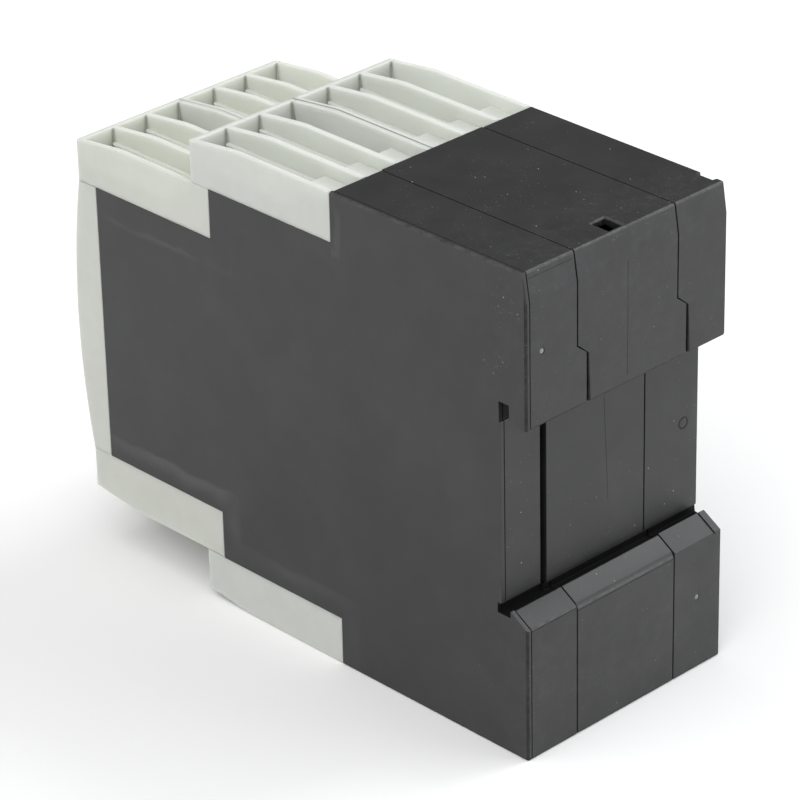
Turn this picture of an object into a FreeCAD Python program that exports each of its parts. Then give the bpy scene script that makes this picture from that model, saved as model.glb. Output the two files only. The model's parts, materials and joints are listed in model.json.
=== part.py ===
import FreeCAD, Part
import math
import os
from types import SimpleNamespace
import Sketcher

# Insulation monitoring relay for a 35 mm mounting rail, in millimetres.
# Origin: middle of the rail seat. +Z up, the rail side looks along +Y, the front along -Y.

DIMENSIONS = [
    # Case
    ("case_width", 45.0, "over both side shells"),
    ("case_height", 85.6, "underside to roof"),
    ("wall", 1.6, "black case walls"),
    ("roof_depth", 42.4, "black roof, from the rear plane to the terminal blocks"),
    ("tier_setback", 28.5, "front tier ahead of the rear tier"),
    ("tier_rise", 8.8, "rear tier above the front tier"),
    ("rear_bend_drop", 5.1, "rear face leans in above this, below the roof"),
    ("rear_bend_inset", 0.8, "how far it leans in"),
    # Rail seat and hooks
    ("rail_height", 43.6, "rail centre above the underside"),
    ("rail_recess", 5.6, "rail seat below the rear plane"),
    ("rail_slot", 37.5, "between the ends of the two flange notches"),
    ("hook_depth", 3.7, "hooks, measured from the rear plane"),
    ("upper_hook", 3.3, "reach of the upper hook over the flange"),
    ("upper_hook_tip", 1.1, "flat at its tip"),
    ("upper_hook_ramp", 0.95, "rise of its lead-in"),
    ("lower_hook", 1.2, "reach of the snap hook over the flange"),
    ("lower_hook_ramp", 2.25, "fall of its lead-in"),
    ("seat_relief", 0.3, "notch floors behind the hooks, below the rail seat"),
    ("seat_margin", 0.2, "end of the rail seat inside the hook tips"),
    # Seams between the shells and the middle section
    ("side_shell_width", 11.25, "strip of roof and rear wall on each shell"),
    ("seam_gap", 0.25, "open joint between the mouldings"),
    ("seam_jog", 2.4, "sideways step of the seam on the upper hook"),
    ("seam_jog_drop", 16.0, "start of that step below the roof"),
    ("seam_jog_slope", 1.9, "height of the slanted run"),
    ("recess_shift", 1.25, "seam shift inside the rail seat"),
    ("recess_groove", 1.25, "open groove beside the right shell in the rail seat"),
    ("plate", 0.85, "side plate of the right shell, outside its joint line"),
    ("joint_width", 0.15, "joint line round the side plate"),
    ("joint_depth", 0.25, "depth of the joint line"),
    ("foot_ledge", 0.65, "end of the right shell's seat above the snap hook"),
    ("foot_ledge_depth", 0.9, "step down from the seat there"),
    ("snap_facet", 0.6, "second facet of the snap hook, on the middle section"),
    ("rib", 1.9, "end rib of the snap hook on the left shell"),
    ("rib_groove", 0.3, "groove beside the rib"),
    ("rib_depth", 0.4, "depth of the groove beside the rib"),
    ("corner_notch_width", 1.1, "notch in the left shell's rear corner, across"),
    ("corner_notch_length", 3.5, "along the depth"),
    ("corner_notch_inset", 2.2, "from the rear plane"),
    ("corner_notch_depth", 1.4, "into the roof"),
    ("lug_socket_width", 3.05, "socket for a screw lug, across"),
    ("lug_socket_length", 3.7, "along the depth"),
    ("lug_socket_inset", 1.6, "from the rear plane"),
    ("lug_socket_depth", 2.4, "into the roof and the underside"),
    # Terminal blocks
    ("block_length", 32.7, "front to rear"),
    ("block_height", 8.7, "shelf to the wall tops"),
    ("block_gap", 0.1, "between a block and its neighbours"),
    ("slope_length", 12.2, "part of the wall tops that slopes down to the front"),
    ("slope_drop", 1.3, "how far it falls"),
    ("slope_bend", 2.4, "length of the round bend where the slope starts"),
    ("outer_wall", 0.9, "side walls of a block"),
    ("divider", 1.15, "walls between its troughs"),
    ("front_wall", 1.2, "front wall of a block"),
    ("trough_depth", 5.2, "floor of a trough below the wall tops"),
    ("trough_rear", 2.3, "rear shelf below the wall tops"),
    ("rear_shelf", 8.5, "length of the rear shelf"),
    ("ledge", 0.8, "ledge along a divider, on one side"),
    ("ledge_depth", 3.5, "ledge below the wall tops"),
    ("corner_slit", 1.0, "slit between a wall's end and the front wall, at the floor"),
    ("corner_slit_depth", 0.45, "slit into the wall"),
    ("corner_slit_top", 0.4, "end of the slit below the front wall's top"),
    ("clamp_width", 5.6, "clamp pocket across"),
    ("clamp_length", 7.0, "clamp pocket along the trough"),
    ("clamp_height", 4.6, "clamp pocket above the shelf"),
    ("screw_axis", 2.4, "screw axis above the shelf"),
    # Screws, cages and contact bars
    ("screw_head", 3.7, "head diameter"),
    ("screw_head_height", 1.8, "head along the axis"),
    ("screw_shank", 2.9, "shank diameter"),
    ("screw_length", 3.4, "shank below the head"),
    ("screw_sink", 0.4, "head behind the block's front face"),
    ("screw_hole_gap", 0.15, "around the head"),
    ("cage_clear", 0.2, "cage to the walls of its pocket"),
    ("cage_plate", 0.7, "cage sheet"),
    ("cage_length", 5.0, "cage along the screw"),
    ("cage_height", 3.8, "cage along the wire"),
    ("cage_base", 0.3, "cage above the shelf"),
    ("thread_gap", 0.05, "screw to the cage's threaded hole"),
    ("bar_width", 3.0, "contact bar"),
    ("bar_thickness", 0.6, "contact bar sheet"),
    ("bar_top", 3.9, "upper end above the shelf"),
    ("bar_drop", 1.0, "first foot below the shelf"),
    ("bar_foot", 2.0, "height of a foot"),
    ("bar_space", 1.0, "between the feet on one board face"),
    ("bar_slot_gap", 0.2, "around a bar in the shelf"),
    # Front cover
    ("cover_depth", 4.4, "side strip of the cover"),
    ("cover_bulge", 2.3, "front face stands out by this at mid height"),
    ("cover_wall", 2.4, "side walls of the cover"),
    ("cover_front", 1.8, "front wall of the cover"),
    ("cover_gap", 0.1, "between the cover and the case"),
    ("spigot_wall", 1.2, "rim that enters the case"),
    ("spigot_root", 1.0, "rim inside the cover"),
    # Circuit boards
    ("board", 1.6, "board thickness"),
    ("board_gap", 0.2, "board to the walls around it"),
    ("board_lap", 0.2, "front edge of the side boards past the front contact bars"),
    ("control_gap", 0.4, "control board to the side boards"),
    ("guide_rib", 1.0, "rib thickness beside a board"),
    ("guide_reach", 2.0, "rib height"),
    ("guide_length", 36.0, "rib length"),
    # Front controls
    ("knob_pitch_x", 11.5, "between knob columns"),
    ("knob_pitch_z", 13.0, "between knob rows"),
    ("knob_x", 1.5, "left knob column"),
    ("knob_z", -0.5, "lower knob row above the cover's middle"),
    ("knob", 7.4, "knob diameter"),
    ("knob_gap", 0.3, "knob to the cover"),
    ("knob_sink", 0.3, "knob face behind the cover's face"),
    ("knob_lift", 0.4, "knob off its switch"),
    ("knob_slot", 1.1, "screwdriver slot"),
    ("knob_slot_depth", 0.8, "screwdriver slot depth"),
    ("knob_shaft", 2.4, "knob shaft diameter"),
    ("shaft_gap", 0.05, "shaft in its switch"),
    ("shaft_length", 2.6, "shaft below the knob"),
    ("switch_side", 9.0, "rotary switch body"),
    ("switch_height", 2.6, "rotary switch body above its board"),
    ("button_length", 8.4, "test button across"),
    ("button_height", 4.4, "test button height"),
    ("button_gap", 0.25, "button to the cover"),
    ("button_sink", 0.2, "button face behind the cover's face"),
    ("button_travel", 0.7, "press"),
    ("button_flange", 0.8, "collar behind the cover"),
    ("button_x", -12.5, "button place"),
    ("button_z", -1.5, "above the cover's middle"),
    ("press_switch_side", 6.0, "switch under the button"),
    ("press_switch_height", 1.6, "switch body"),
    ("plunger", 3.0, "plunger diameter"),
    ("plunger_height", 0.5, "plunger above the switch"),
    ("plunger_gap", 0.1, "button to plunger when pressed"),
    ("dip_pitch", 2.54, "between dip sliders"),
    ("dip_width", 10.9, "dip switch body"),
    ("dip_height", 6.4, "dip switch body"),
    ("dip_depth", 3.2, "dip switch body above its board"),
    ("dip_slot_width", 1.3, "slider slot"),
    ("dip_slot_depth", 1.2, "slider slot"),
    ("dip_slider", 1.5, "slider along its slot"),
    ("dip_travel", 1.5, "slider travel"),
    ("dip_gap", 0.1, "slider to its slot"),
    ("dip_stand", 0.5, "slider above the body"),
    ("dip_window_gap", 0.4, "cover window around the body"),
    ("dip_x", -11.0, "dip switch place"),
    ("dip_z", -14.5, "above the cover's middle"),
    ("light_x", -12.5, "light guides"),
    ("light_z", 16.0, "top light guide above the cover's middle"),
    ("light_pitch", 4.6, "between light guides"),
    ("light_guide", 2.3, "light guide diameter"),
    ("light_gap", 0.05, "around a light guide"),
    ("lamp_side", 2.2, "lamp on the board"),
    ("lamp_height", 0.9, "lamp on the board"),
    ("lamp_gap", 0.2, "lamp to its light guide"),
    # Parts on the side boards
    ("core_width", 20.0, "transformer core along the depth"),
    ("core_height", 20.0, "transformer core"),
    ("side_room", 1.0, "tall parts to the side wall"),
    ("core_leg", 6.0, "middle leg"),
    ("core_yoke", 3.0, "yokes and outer legs"),
    ("winding_gap", 0.2, "winding to the core"),
    ("winding_over", 1.6, "winding beyond the core across"),
    ("core_y", -34.0, "transformer place"),
    ("relay_width", 12.6, "output relay along the depth"),
    ("relay_height", 28.6, "output relay"),
    ("relay_thick", 10.0, "output relay off its board"),
    ("relay_y", -43.0, "front relay"),
    ("relay_pitch", 18.0, "between relays"),
    ("capacitor", 8.0, "capacitor diameter"),
    ("capacitor_pitch", 11.0, "between capacitors"),
    ("capacitor_y", -64.0, "capacitors"),
    ("connector_length", 24.0, "board connector"),
    ("connector_thick", 2.5, "board connector off its board"),
    ("connector_lap", 3.6, "board connector along its board"),
]
SHEET = "Sizes"
OVERSHOOT = 1.0  # how far a cutting outline runs past the solid it cuts
HEAD_SIDES = 12  # screw heads and driver holes repeat in every way, so they are many-sided
SHANK_SIDES = 8  # screw shanks and their threaded holes, out of sight
CAN_SIDES = 16  # capacitor cans, out of sight


class Size:
    """A length that carries its number and the sheet formula behind it."""

    def __init__(self, number, formula):
        self.number = number
        self.formula = formula

    def joined(self, sign, other, number):
        return Size(number, f"({self.formula} {sign} {other.formula})")

    def __add__(self, other):
        other = as_size(other)
        return self.joined("+", other, self.number + other.number)

    def __sub__(self, other):
        other = as_size(other)
        return self.joined("-", other, self.number - other.number)

    def __mul__(self, other):
        other = as_size(other)
        return self.joined("*", other, self.number * other.number)

    def __truediv__(self, other):
        other = as_size(other)
        return self.joined("/", other, self.number / other.number)

    def __neg__(self):
        return Size(-self.number, f"(-{self.formula})")

    def __radd__(self, other):
        return as_size(other) + self

    def __rsub__(self, other):
        return as_size(other) - self

    def __rmul__(self, other):
        return as_size(other) * self


def as_size(value):
    if isinstance(value, Size):
        return value
    return Size(float(value), f"({float(value)})")


doc = FreeCAD.newDocument("InsulationRelay")
sheet = doc.addObject("Spreadsheet::Sheet", SHEET)
for row, (alias, value, note) in enumerate(DIMENSIONS, start=1):
    sheet.set(f"A{row}", alias)
    sheet.set(f"B{row}", str(value))
    sheet.set(f"C{row}", note)
    sheet.setAlias(f"B{row}", alias)
doc.recompute()
s = SimpleNamespace(**{alias: Size(value, f"{SHEET}.{alias}") for alias, value, note in DIMENSIONS})


def bind(thing, prop, value):
    """Ties a property to the sheet."""
    thing.setExpression(prop, as_size(value).formula)


def new_body(label, x=0, y=0, z=0, upside_down=False):
    """An empty body, placed from the sheet. Upside down means turned half round about its depth."""
    body = doc.addObject("PartDesign::Body", label)
    body.Label = label
    if upside_down:
        body.Placement = FreeCAD.Placement(FreeCAD.Vector(), FreeCAD.Rotation(FreeCAD.Vector(0, 1, 0), 180))
    for axis, value in (("x", x), ("y", y), ("z", z)):
        bind(body, f"Placement.Base.{axis}", value)
    return body


def origin_part(body, role):
    return next(item for item in body.Origin.OriginFeatures if item.Role == role)


def new_sketch(body, name, plane, offset=0, shift=0):
    """A sketch on one of the body's origin planes, moved off it and along its first axis."""
    sketch = body.newObject("Sketcher::SketchObject", name)
    sketch.AttachmentSupport = [(origin_part(body, plane), "")]
    sketch.MapMode = "FlatFace"
    bind(sketch, "AttachmentOffset.Base.z", offset)
    bind(sketch, "AttachmentOffset.Base.x", shift)
    return sketch


def pin_point(sketch, geometry, point, place, axes="XY"):
    """Dimensions one sketch point from the sketch's origin."""
    for axis in axes:
        value = as_size(place["XY".index(axis)])
        rule = Sketcher.Constraint(f"Distance{axis}", -1, 1, geometry, point, value.number)
        index = sketch.addConstraint(rule)
        bind(sketch, f"Constraints[{index}]", value)


def outline(sketch, points, arcs=None):
    """A closed outline, counter-clockwise. arcs maps a run's index to its centre, as (axis, value)."""
    arcs = arcs or {}
    places = [(as_size(a), as_size(b)) for a, b in points]
    corners = [FreeCAD.Vector(a.number, b.number, 0) for a, b in places]
    count = len(corners)
    runs = []
    for i, start in enumerate(corners):
        end = corners[(i + 1) % count]
        run = arc_run(start, end, *arcs[i]) if i in arcs else Part.LineSegment(start, end)
        runs.append(sketch.addGeometry(run))
    for i, run in enumerate(runs):
        sketch.addConstraint(Sketcher.Constraint("Coincident", run, 2, runs[(i + 1) % count], 1))
        pin_point(sketch, run, 1, places[i])
        if i in arcs:
            axis, value = arcs[i]
            pin_point(sketch, run, 3, (value, value), axis)


def arc_run(start, end, axis, value):
    """The arc from start to end, counter-clockwise, whose centre has one known coordinate."""
    middle = (start + end) * 0.5
    across = FreeCAD.Vector(start.y - end.y, end.x - start.x, 0)
    known = as_size(value).number
    along = (known - middle.x) / across.x if axis == "X" else (known - middle.y) / across.y
    centre = middle + across * along
    radius = (start - centre).Length
    top = centre + (middle - centre).normalize() * radius if along else middle - across.normalize() * radius
    return Part.Arc(start, top, end)


def rectangle(sketch, low, high):
    outline(sketch, [low, (high[0], low[1]), high, (low[0], high[1])])


def block_outline(sketch, centre, width, height):
    """A rectangle given by its centre."""
    x, y = centre
    rectangle(sketch, (x - width / 2, y - height / 2), (x + width / 2, y + height / 2))


def circle(sketch, centre, diameter):
    place = tuple(as_size(value) for value in centre)
    radius = as_size(diameter) / 2
    middle = FreeCAD.Vector(place[0].number, place[1].number, 0)
    geometry = sketch.addGeometry(Part.Circle(middle, FreeCAD.Vector(0, 0, 1), radius.number))
    index = sketch.addConstraint(Sketcher.Constraint("Radius", geometry, radius.number))
    bind(sketch, f"Constraints[{index}]", radius)
    pin_point(sketch, geometry, 3, place)


def many_sided(sketch, centre, diameter, sides):
    """A regular outline with its corners on a circle."""
    x, y = centre
    radius = diameter / 2
    turns = [2 * math.pi * (i + 0.5) / sides for i in range(sides)]
    outline(sketch, [(x + radius * math.cos(turn), y + radius * math.sin(turn)) for turn in turns])


def stadium(sketch, centre, length, height):
    """A slot outline with round ends, along the sketch's first axis."""
    x, y = centre
    reach = (length - height) / 2
    low, high = y - height / 2, y + height / 2
    outline(sketch, [(x - reach, low), (x + reach, low), (x + reach, high), (x - reach, high)],
            {1: ("X", x + reach), 3: ("X", x - reach)})


def extrude(body, kind, sketch, length, both=False, reverse=False):
    feature = body.newObject(f"PartDesign::{kind}", f"{sketch.Name}_{kind}")
    feature.Profile = sketch
    bind(feature, "Length", length)
    feature.SideType = "Symmetric" if both else "One side"
    feature.Reversed = reverse
    body.Tip = feature
    return feature


def pad(body, sketch, length, **how):
    return extrude(body, "Pad", sketch, length, **how)


def pocket(body, sketch, length, **how):
    return extrude(body, "Pocket", sketch, length, **how)


def revolve(body, sketch):
    feature = body.newObject("PartDesign::Revolution", f"{sketch.Name}_Turned")
    feature.Profile = sketch
    feature.ReferenceAxis = (sketch, ["V_Axis"])
    feature.Angle = 360
    body.Tip = feature
    return feature


def repeat(body, features, rows, mirrored=False):
    """Repeats features in rows of (axis, count, spacing), and across the middle plane if asked."""
    doc.recompute()
    many = body.newObject("PartDesign::MultiTransform", f"{features[0].Name}_Rows")
    steps = []
    for axis, count, spacing in rows:
        step = body.newObject("PartDesign::LinearPattern", f"{features[0].Name}_Row")
        step.Direction = (origin_part(body, axis), [""])
        step.Mode = "Spacing"
        step.Occurrences = count
        bind(step, "Offset", spacing)
        steps.append(step)
    if mirrored:
        step = body.newObject("PartDesign::Mirrored", f"{features[0].Name}_Mirror")
        step.MirrorPlane = (origin_part(body, "YZ_Plane"), [""])
        steps.append(step)
    many.Originals = features
    many.Transformations = steps
    body.Tip = many
    return many


# Levels and planes that several pieces share
half_width = s.case_width / 2
rear = s.rail_recess
under = -s.rail_height
top = s.case_height - s.rail_height
notch_top = s.rail_slot / 2
notch_foot = -s.rail_slot / 2
upper_tip = notch_top - s.upper_hook
lower_tip = notch_foot + s.lower_hook
y_roof = rear - s.roof_depth
y_tier = y_roof - s.tier_setback
y_cover = y_tier - s.block_length
y_shell = y_cover + s.cover_depth
rear_shelf_top = top - s.block_height
front_shelf_top = rear_shelf_top - s.tier_rise
rear_shelf_foot = under + s.block_height
front_shelf_foot = rear_shelf_foot + s.tier_rise

block_width = half_width - s.block_gap
trough_width = (block_width - 2 * s.outer_wall - 2 * s.divider) / 3
pitch = trough_width + s.divider
block_x = s.case_width / 4
clamp_front = s.block_length - s.front_wall
cage_front = s.block_length - s.screw_sink - s.screw_head_height - s.thread_gap * 2
bar_back = cage_front - s.cage_length + s.cage_plate
board_x = block_x - pitch / 2
board_room = half_width - s.wall - s.side_room - board_x - s.board / 2

board_front = y_tier - bar_back - s.bar_thickness - s.board_lap
control_back = board_front - s.control_gap
control_front = control_back - s.board

cover_low = front_shelf_foot + s.cover_gap
cover_high = front_shelf_top - s.cover_gap
cover_mid = (cover_low + cover_high) / 2
cover_half = (cover_high - cover_low) / 2

TIERS = [
    ("upper_rear", y_roof, rear_shelf_top, False),
    ("upper_front", y_tier, front_shelf_top, False),
    ("lower_rear", y_roof, rear_shelf_foot, True),
    ("lower_front", y_tier, front_shelf_foot, True),
]


def cover_face(z):
    """Depth of the cover's curved front at a height above its middle."""
    return y_cover - s.cover_bulge + s.cover_bulge * z * z / (cover_half * cover_half)


# Case: one stepped shell, parted along the two seams
def case_blank():
    body = new_body("case_blank")
    skin = new_sketch(body, "case_outline", "YZ_Plane")
    outline(skin, [
        (rear, under),
        (rear, lower_tip - s.lower_hook_ramp),
        (rear - s.hook_depth, lower_tip),
        (rear - s.hook_depth, notch_foot),
        (-s.seat_relief, notch_foot),
        (-s.seat_relief, lower_tip + s.seat_margin),
        (0, lower_tip + s.seat_margin),
        (0, upper_tip - s.seat_margin),
        (-s.seat_relief, upper_tip - s.seat_margin),
        (-s.seat_relief, notch_top),
        (rear - s.hook_depth, notch_top),
        (rear - s.hook_depth, upper_tip + s.upper_hook_ramp),
        (rear - s.upper_hook_tip, upper_tip),
        (rear, upper_tip),
        (rear, top - s.rear_bend_drop),
        (rear - s.rear_bend_inset, top),
        (y_roof, top),
        (y_roof, rear_shelf_top),
        (y_tier, rear_shelf_top),
        (y_tier, front_shelf_top),
        (y_shell, front_shelf_top),
        (y_shell, front_shelf_foot),
        (y_tier, front_shelf_foot),
        (y_tier, rear_shelf_foot),
        (y_roof, rear_shelf_foot),
        (y_roof, under),
    ])
    pad(body, skin, s.case_width, both=True)
    inside = new_sketch(body, "case_inside", "YZ_Plane")
    w = s.wall
    outline(inside, [
        (rear - w, under + w),
        (rear - w, notch_foot - w),
        (-w, notch_foot - w),
        (-w, notch_top + w),
        (rear - w, notch_top + w),
        (rear - w, top - s.rear_bend_drop),
        (rear - w - s.rear_bend_inset, top - w),
        (y_roof + w, top - w),
        (y_roof + w, rear_shelf_top - w),
        (y_tier + w, rear_shelf_top - w),
        (y_tier + w, front_shelf_top - w),
        (y_shell - OVERSHOOT, front_shelf_top - w),
        (y_shell - OVERSHOOT, front_shelf_foot + w),
        (y_tier + w, front_shelf_foot + w),
        (y_tier + w, rear_shelf_foot + w),
        (y_roof + w, rear_shelf_foot + w),
        (y_roof + w, under + w),
    ])
    pocket(body, inside, s.case_width - 2 * s.wall, both=True)
    ribs = new_sketch(body, "board_guides", "XZ_Plane", offset=w)
    for side in (-1, 1):
        middle = board_x + side * (s.board / 2 + s.board_gap + s.guide_rib / 2)
        block_outline(ribs, (middle, as_size(0)), s.guide_rib, s.guide_length)
    rib_pads = pad(body, ribs, s.guide_reach)
    repeat(body, [rib_pads], [], mirrored=True)
    for name, y_end in (("rear_bar_slots", y_roof), ("front_bar_slots", y_tier)):
        slot = new_sketch(body, name, "XY_Plane")
        middle = (block_x - pitch, y_end - bar_back - s.bar_thickness / 2)
        block_outline(slot, middle, s.bar_width + 2 * s.bar_slot_gap, s.bar_thickness + 2 * s.bar_slot_gap)
        cut = pocket(body, slot, 2 * s.case_height, both=True)
        repeat(body, [cut], [("X_Axis", 3, pitch)], mirrored=True)
    lug_y = rear - s.lug_socket_inset - s.lug_socket_length / 2
    for name, level, upward in (("roof_lug_socket", top, False), ("floor_lug_socket", under, True)):
        lug = new_sketch(body, name, "XY_Plane", offset=level)
        block_outline(lug, (s.recess_shift, lug_y), s.lug_socket_width, s.lug_socket_length)
        pocket(body, lug, s.lug_socket_depth, reverse=upward)
    side_plate_joint(body)
    snap_hook_details(body)
    notch = new_sketch(body, "corner_notch", "XY_Plane", offset=top)
    notch_rear = rear - s.corner_notch_inset
    rectangle(notch, (-half_width - OVERSHOOT, notch_rear - s.corner_notch_length),
              (s.corner_notch_width - half_width, notch_rear))
    pocket(body, notch, s.corner_notch_depth)
    return body


def side_plate_joint(body):
    """The groove round the right shell's side plate, a little inside the case's outline."""
    joint = new_sketch(body, "plate_joint", "YZ_Plane", offset=half_width - s.plate)
    rectangle(joint, (y_cover, under - OVERSHOOT), (rear + OVERSHOOT, top + OVERSHOOT))
    d = s.joint_depth
    hook_back = rear - s.hook_depth + d
    outline(joint, [
        (rear - d, under + d),
        (rear - d, lower_tip - s.lower_hook_ramp - d),
        (hook_back, lower_tip - 2 * d),
        (hook_back, notch_foot - d),
        (-s.foot_ledge_depth - d, notch_foot - d),
        (-s.foot_ledge_depth - d, lower_tip + s.foot_ledge),
        (-s.seat_relief - d, lower_tip + s.foot_ledge),
        (-s.seat_relief - d, notch_top + d),
        (hook_back, notch_top + d),
        (hook_back, upper_tip + s.upper_hook_ramp + d),
        (rear - s.upper_hook_tip, upper_tip + d),
        (rear - d, upper_tip + d),
        (rear - d, top - s.rear_bend_drop),
        (rear - s.rear_bend_inset - d, top - d),
        (y_roof + d, top - d),
        (y_roof + d, rear_shelf_top - d),
        (y_tier + d, rear_shelf_top - d),
        (y_tier + d, front_shelf_top - d),
        (y_shell + d, front_shelf_top - d),
        (y_shell + d, front_shelf_foot + d),
        (y_tier + d, front_shelf_foot + d),
        (y_tier + d, rear_shelf_foot + d),
        (y_roof + d, rear_shelf_foot + d),
        (y_roof + d, under + d),
    ])
    pocket(body, joint, s.joint_width)


def snap_hook_details(body):
    """The step at the foot of the right seat, the middle's second facet and the left end's rib."""
    step = new_sketch(body, "foot_step", "XZ_Plane")
    groove_edge = half_width - s.side_shell_width + s.recess_shift + s.recess_groove
    rectangle(step, (groove_edge - OVERSHOOT, notch_foot),
              (half_width + OVERSHOOT, lower_tip + s.foot_ledge))
    pocket(body, step, s.foot_ledge_depth, reverse=True)
    corner = lower_tip - s.lower_hook_ramp
    facet = new_sketch(body, "snap_facet", "YZ_Plane")
    outline(facet, [
        (rear, corner - s.snap_facet),
        (rear + OVERSHOOT, corner),
        (rear - s.snap_facet, corner + s.snap_facet * s.lower_hook_ramp / s.hook_depth),
    ])
    pocket(body, facet, s.case_width - 2 * s.side_shell_width, both=True)
    rib = new_sketch(body, "end_rib", "YZ_Plane", offset=s.rib - half_width)
    outline(rib, [
        (rear, corner - s.rib_depth),
        (rear + OVERSHOOT, corner),
        (rear - s.hook_depth, lower_tip + OVERSHOOT),
        (rear - s.hook_depth, lower_tip - s.rib_depth),
    ])
    pocket(body, rib, s.rib_groove)


def seam(x, play, recess_play):
    """The zigzag line of one seam, from below the case to above it, as seen from behind."""
    jog_start = top - s.seam_jog_drop
    return [
        (x + play, under - OVERSHOOT),
        (x + play, lower_tip),
        (x + s.recess_shift + recess_play, lower_tip),
        (x + s.recess_shift + recess_play, upper_tip),
        (x - s.seam_jog + play, upper_tip),
        (x - s.seam_jog + play, jog_start - s.seam_jog_slope),
        (x + play, jog_start),
        (x + play, top + OVERSHOOT),
    ]


def seam_region(name, points):
    """A prism through the whole depth that keeps one section of the case."""
    body = new_body(name)
    sketch = new_sketch(body, f"{name}_outline", "XZ_Plane")
    outline(sketch, points)
    pad(body, sketch, 4 * s.case_height, both=True)
    return body


def case_section(label, blank, region):
    piece = doc.addObject("Part::MultiCommon", label)
    piece.Label = label
    piece.Shapes = [blank, region]
    return piece


def case_sections():
    blank = case_blank()
    play = s.seam_gap / 2
    right_x = half_width - s.side_shell_width
    left_x = -right_x
    edge = half_width + OVERSHOOT
    floor_z, roof_z = under - OVERSHOOT, top + OVERSHOOT
    right = seam(right_x, play, s.recess_groove)[::-1] + [(edge, floor_z), (edge, roof_z)]
    left = [(-edge, roof_z), (-edge, floor_z)] + seam(left_x, -play, -play)
    centre = seam(right_x, -play, -play) + seam(left_x, play, play)[::-1]
    return [
        case_section("right_side_shell", blank, seam_region("right_region", right)),
        case_section("left_side_shell", blank, seam_region("left_region", left)),
        case_section("centre_housing", blank, seam_region("centre_region", centre)),
    ]


# Terminal blocks: three open troughs over three screw clamps
def terminal_block(label, x, y, z, upside_down):
    body = new_body(label, x, y, z, upside_down)
    side = new_sketch(body, "block_side", "YZ_Plane")
    slope_start = s.slope_length - s.block_length
    bend_drop = s.slope_drop * s.slope_bend / (2 * s.slope_length - s.slope_bend)
    outline(side, [
        (-s.block_gap, 0),
        (-s.block_gap, s.block_height),
        (slope_start, s.block_height),
        (slope_start - s.slope_bend, s.block_height - bend_drop),
        (-s.block_length, s.block_height - s.slope_drop),
        (-s.block_length, 0),
    ], {2: ("X", slope_start)})
    pad(body, side, block_width, both=True)
    floor = s.block_height - s.trough_depth
    ledge_level = s.block_height - s.ledge_depth
    brim = s.block_height + OVERSHOOT
    lower = new_sketch(body, "lower_troughs", "XY_Plane", offset=floor)
    for way in (-1, 0, 1):
        far = way * pitch - trough_width / 2
        ledge_edge = far if way < 0 else far + s.ledge
        rectangle(lower, (ledge_edge, -clamp_front), (far + trough_width, -s.rear_shelf))
    pocket(body, lower, s.trough_depth - s.ledge_depth, reverse=True)
    trough = new_sketch(body, "trough", "YZ_Plane", offset=-pitch)
    outline(trough, [
        (OVERSHOOT, brim),
        (-clamp_front, brim),
        (-clamp_front, ledge_level),
        (-s.rear_shelf, ledge_level),
        (-s.rear_shelf, s.block_height - s.trough_rear),
        (OVERSHOOT, s.block_height - s.trough_rear),
    ])
    cuts = [pocket(body, trough, trough_width, both=True)]
    slit = new_sketch(body, "corner_slit", "YZ_Plane", offset=s.ledge - pitch - trough_width / 2)
    outline(slit, [
        (-clamp_front, floor),
        (s.corner_slit - clamp_front, floor),
        (-clamp_front, s.block_height - s.slope_drop - s.corner_slit_top),
    ])
    cuts.append(pocket(body, slit, s.ledge + s.corner_slit_depth))
    clamp = new_sketch(body, "clamp_pocket", "XY_Plane")
    rectangle(clamp, (-pitch - s.clamp_width / 2, -clamp_front),
              (-pitch + s.clamp_width / 2, s.clamp_length - clamp_front))
    cuts.append(pocket(body, clamp, s.clamp_height, reverse=True))
    driver = new_sketch(body, "driver_hole", "XZ_Plane", offset=s.block_length)
    many_sided(driver, (-pitch, s.screw_axis), s.screw_head + 2 * s.screw_hole_gap, HEAD_SIDES)
    cuts.append(pocket(body, driver, s.front_wall + OVERSHOOT))
    repeat(body, cuts, [("X_Axis", 3, pitch)])
    return body


def terminal_screws(label, y, z, upside_down):
    body = new_body(label, 0, y, z, upside_down)
    first = (-block_x - pitch, s.screw_axis)
    neck = s.block_length - s.screw_sink - s.screw_head_height
    head = new_sketch(body, "screw_head", "XZ_Plane", offset=neck)
    many_sided(head, first, s.screw_head, HEAD_SIDES)
    shank = new_sketch(body, "screw_shank", "XZ_Plane", offset=neck)
    many_sided(shank, first, s.screw_shank, SHANK_SIDES)
    screw = [pad(body, head, s.screw_head_height), pad(body, shank, s.screw_length, reverse=True)]
    repeat(body, screw, [("X_Axis", 3, pitch), ("X_Axis", 2, half_width)])
    return body


def clamp_cages(label, y, z, upside_down):
    body = new_body(label, 0, y, z, upside_down)
    first = -block_x - pitch
    width = s.clamp_width - 2 * s.cage_clear
    frame = new_sketch(body, "cage_frame", "XY_Plane", offset=s.cage_base)
    for inset in (0, s.cage_plate):
        rectangle(frame, (first - width / 2 + inset, -cage_front + inset),
                  (first + width / 2 - inset, s.cage_length - cage_front - inset))
    cage = pad(body, frame, s.cage_height)
    thread = new_sketch(body, "cage_thread", "XZ_Plane", offset=cage_front)
    many_sided(thread, (first, s.screw_axis), s.screw_shank + 2 * s.thread_gap, SHANK_SIDES)
    hole = pocket(body, thread, s.cage_plate)
    repeat(body, [cage, hole], [("X_Axis", 3, pitch), ("X_Axis", 2, half_width)])
    return body


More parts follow.
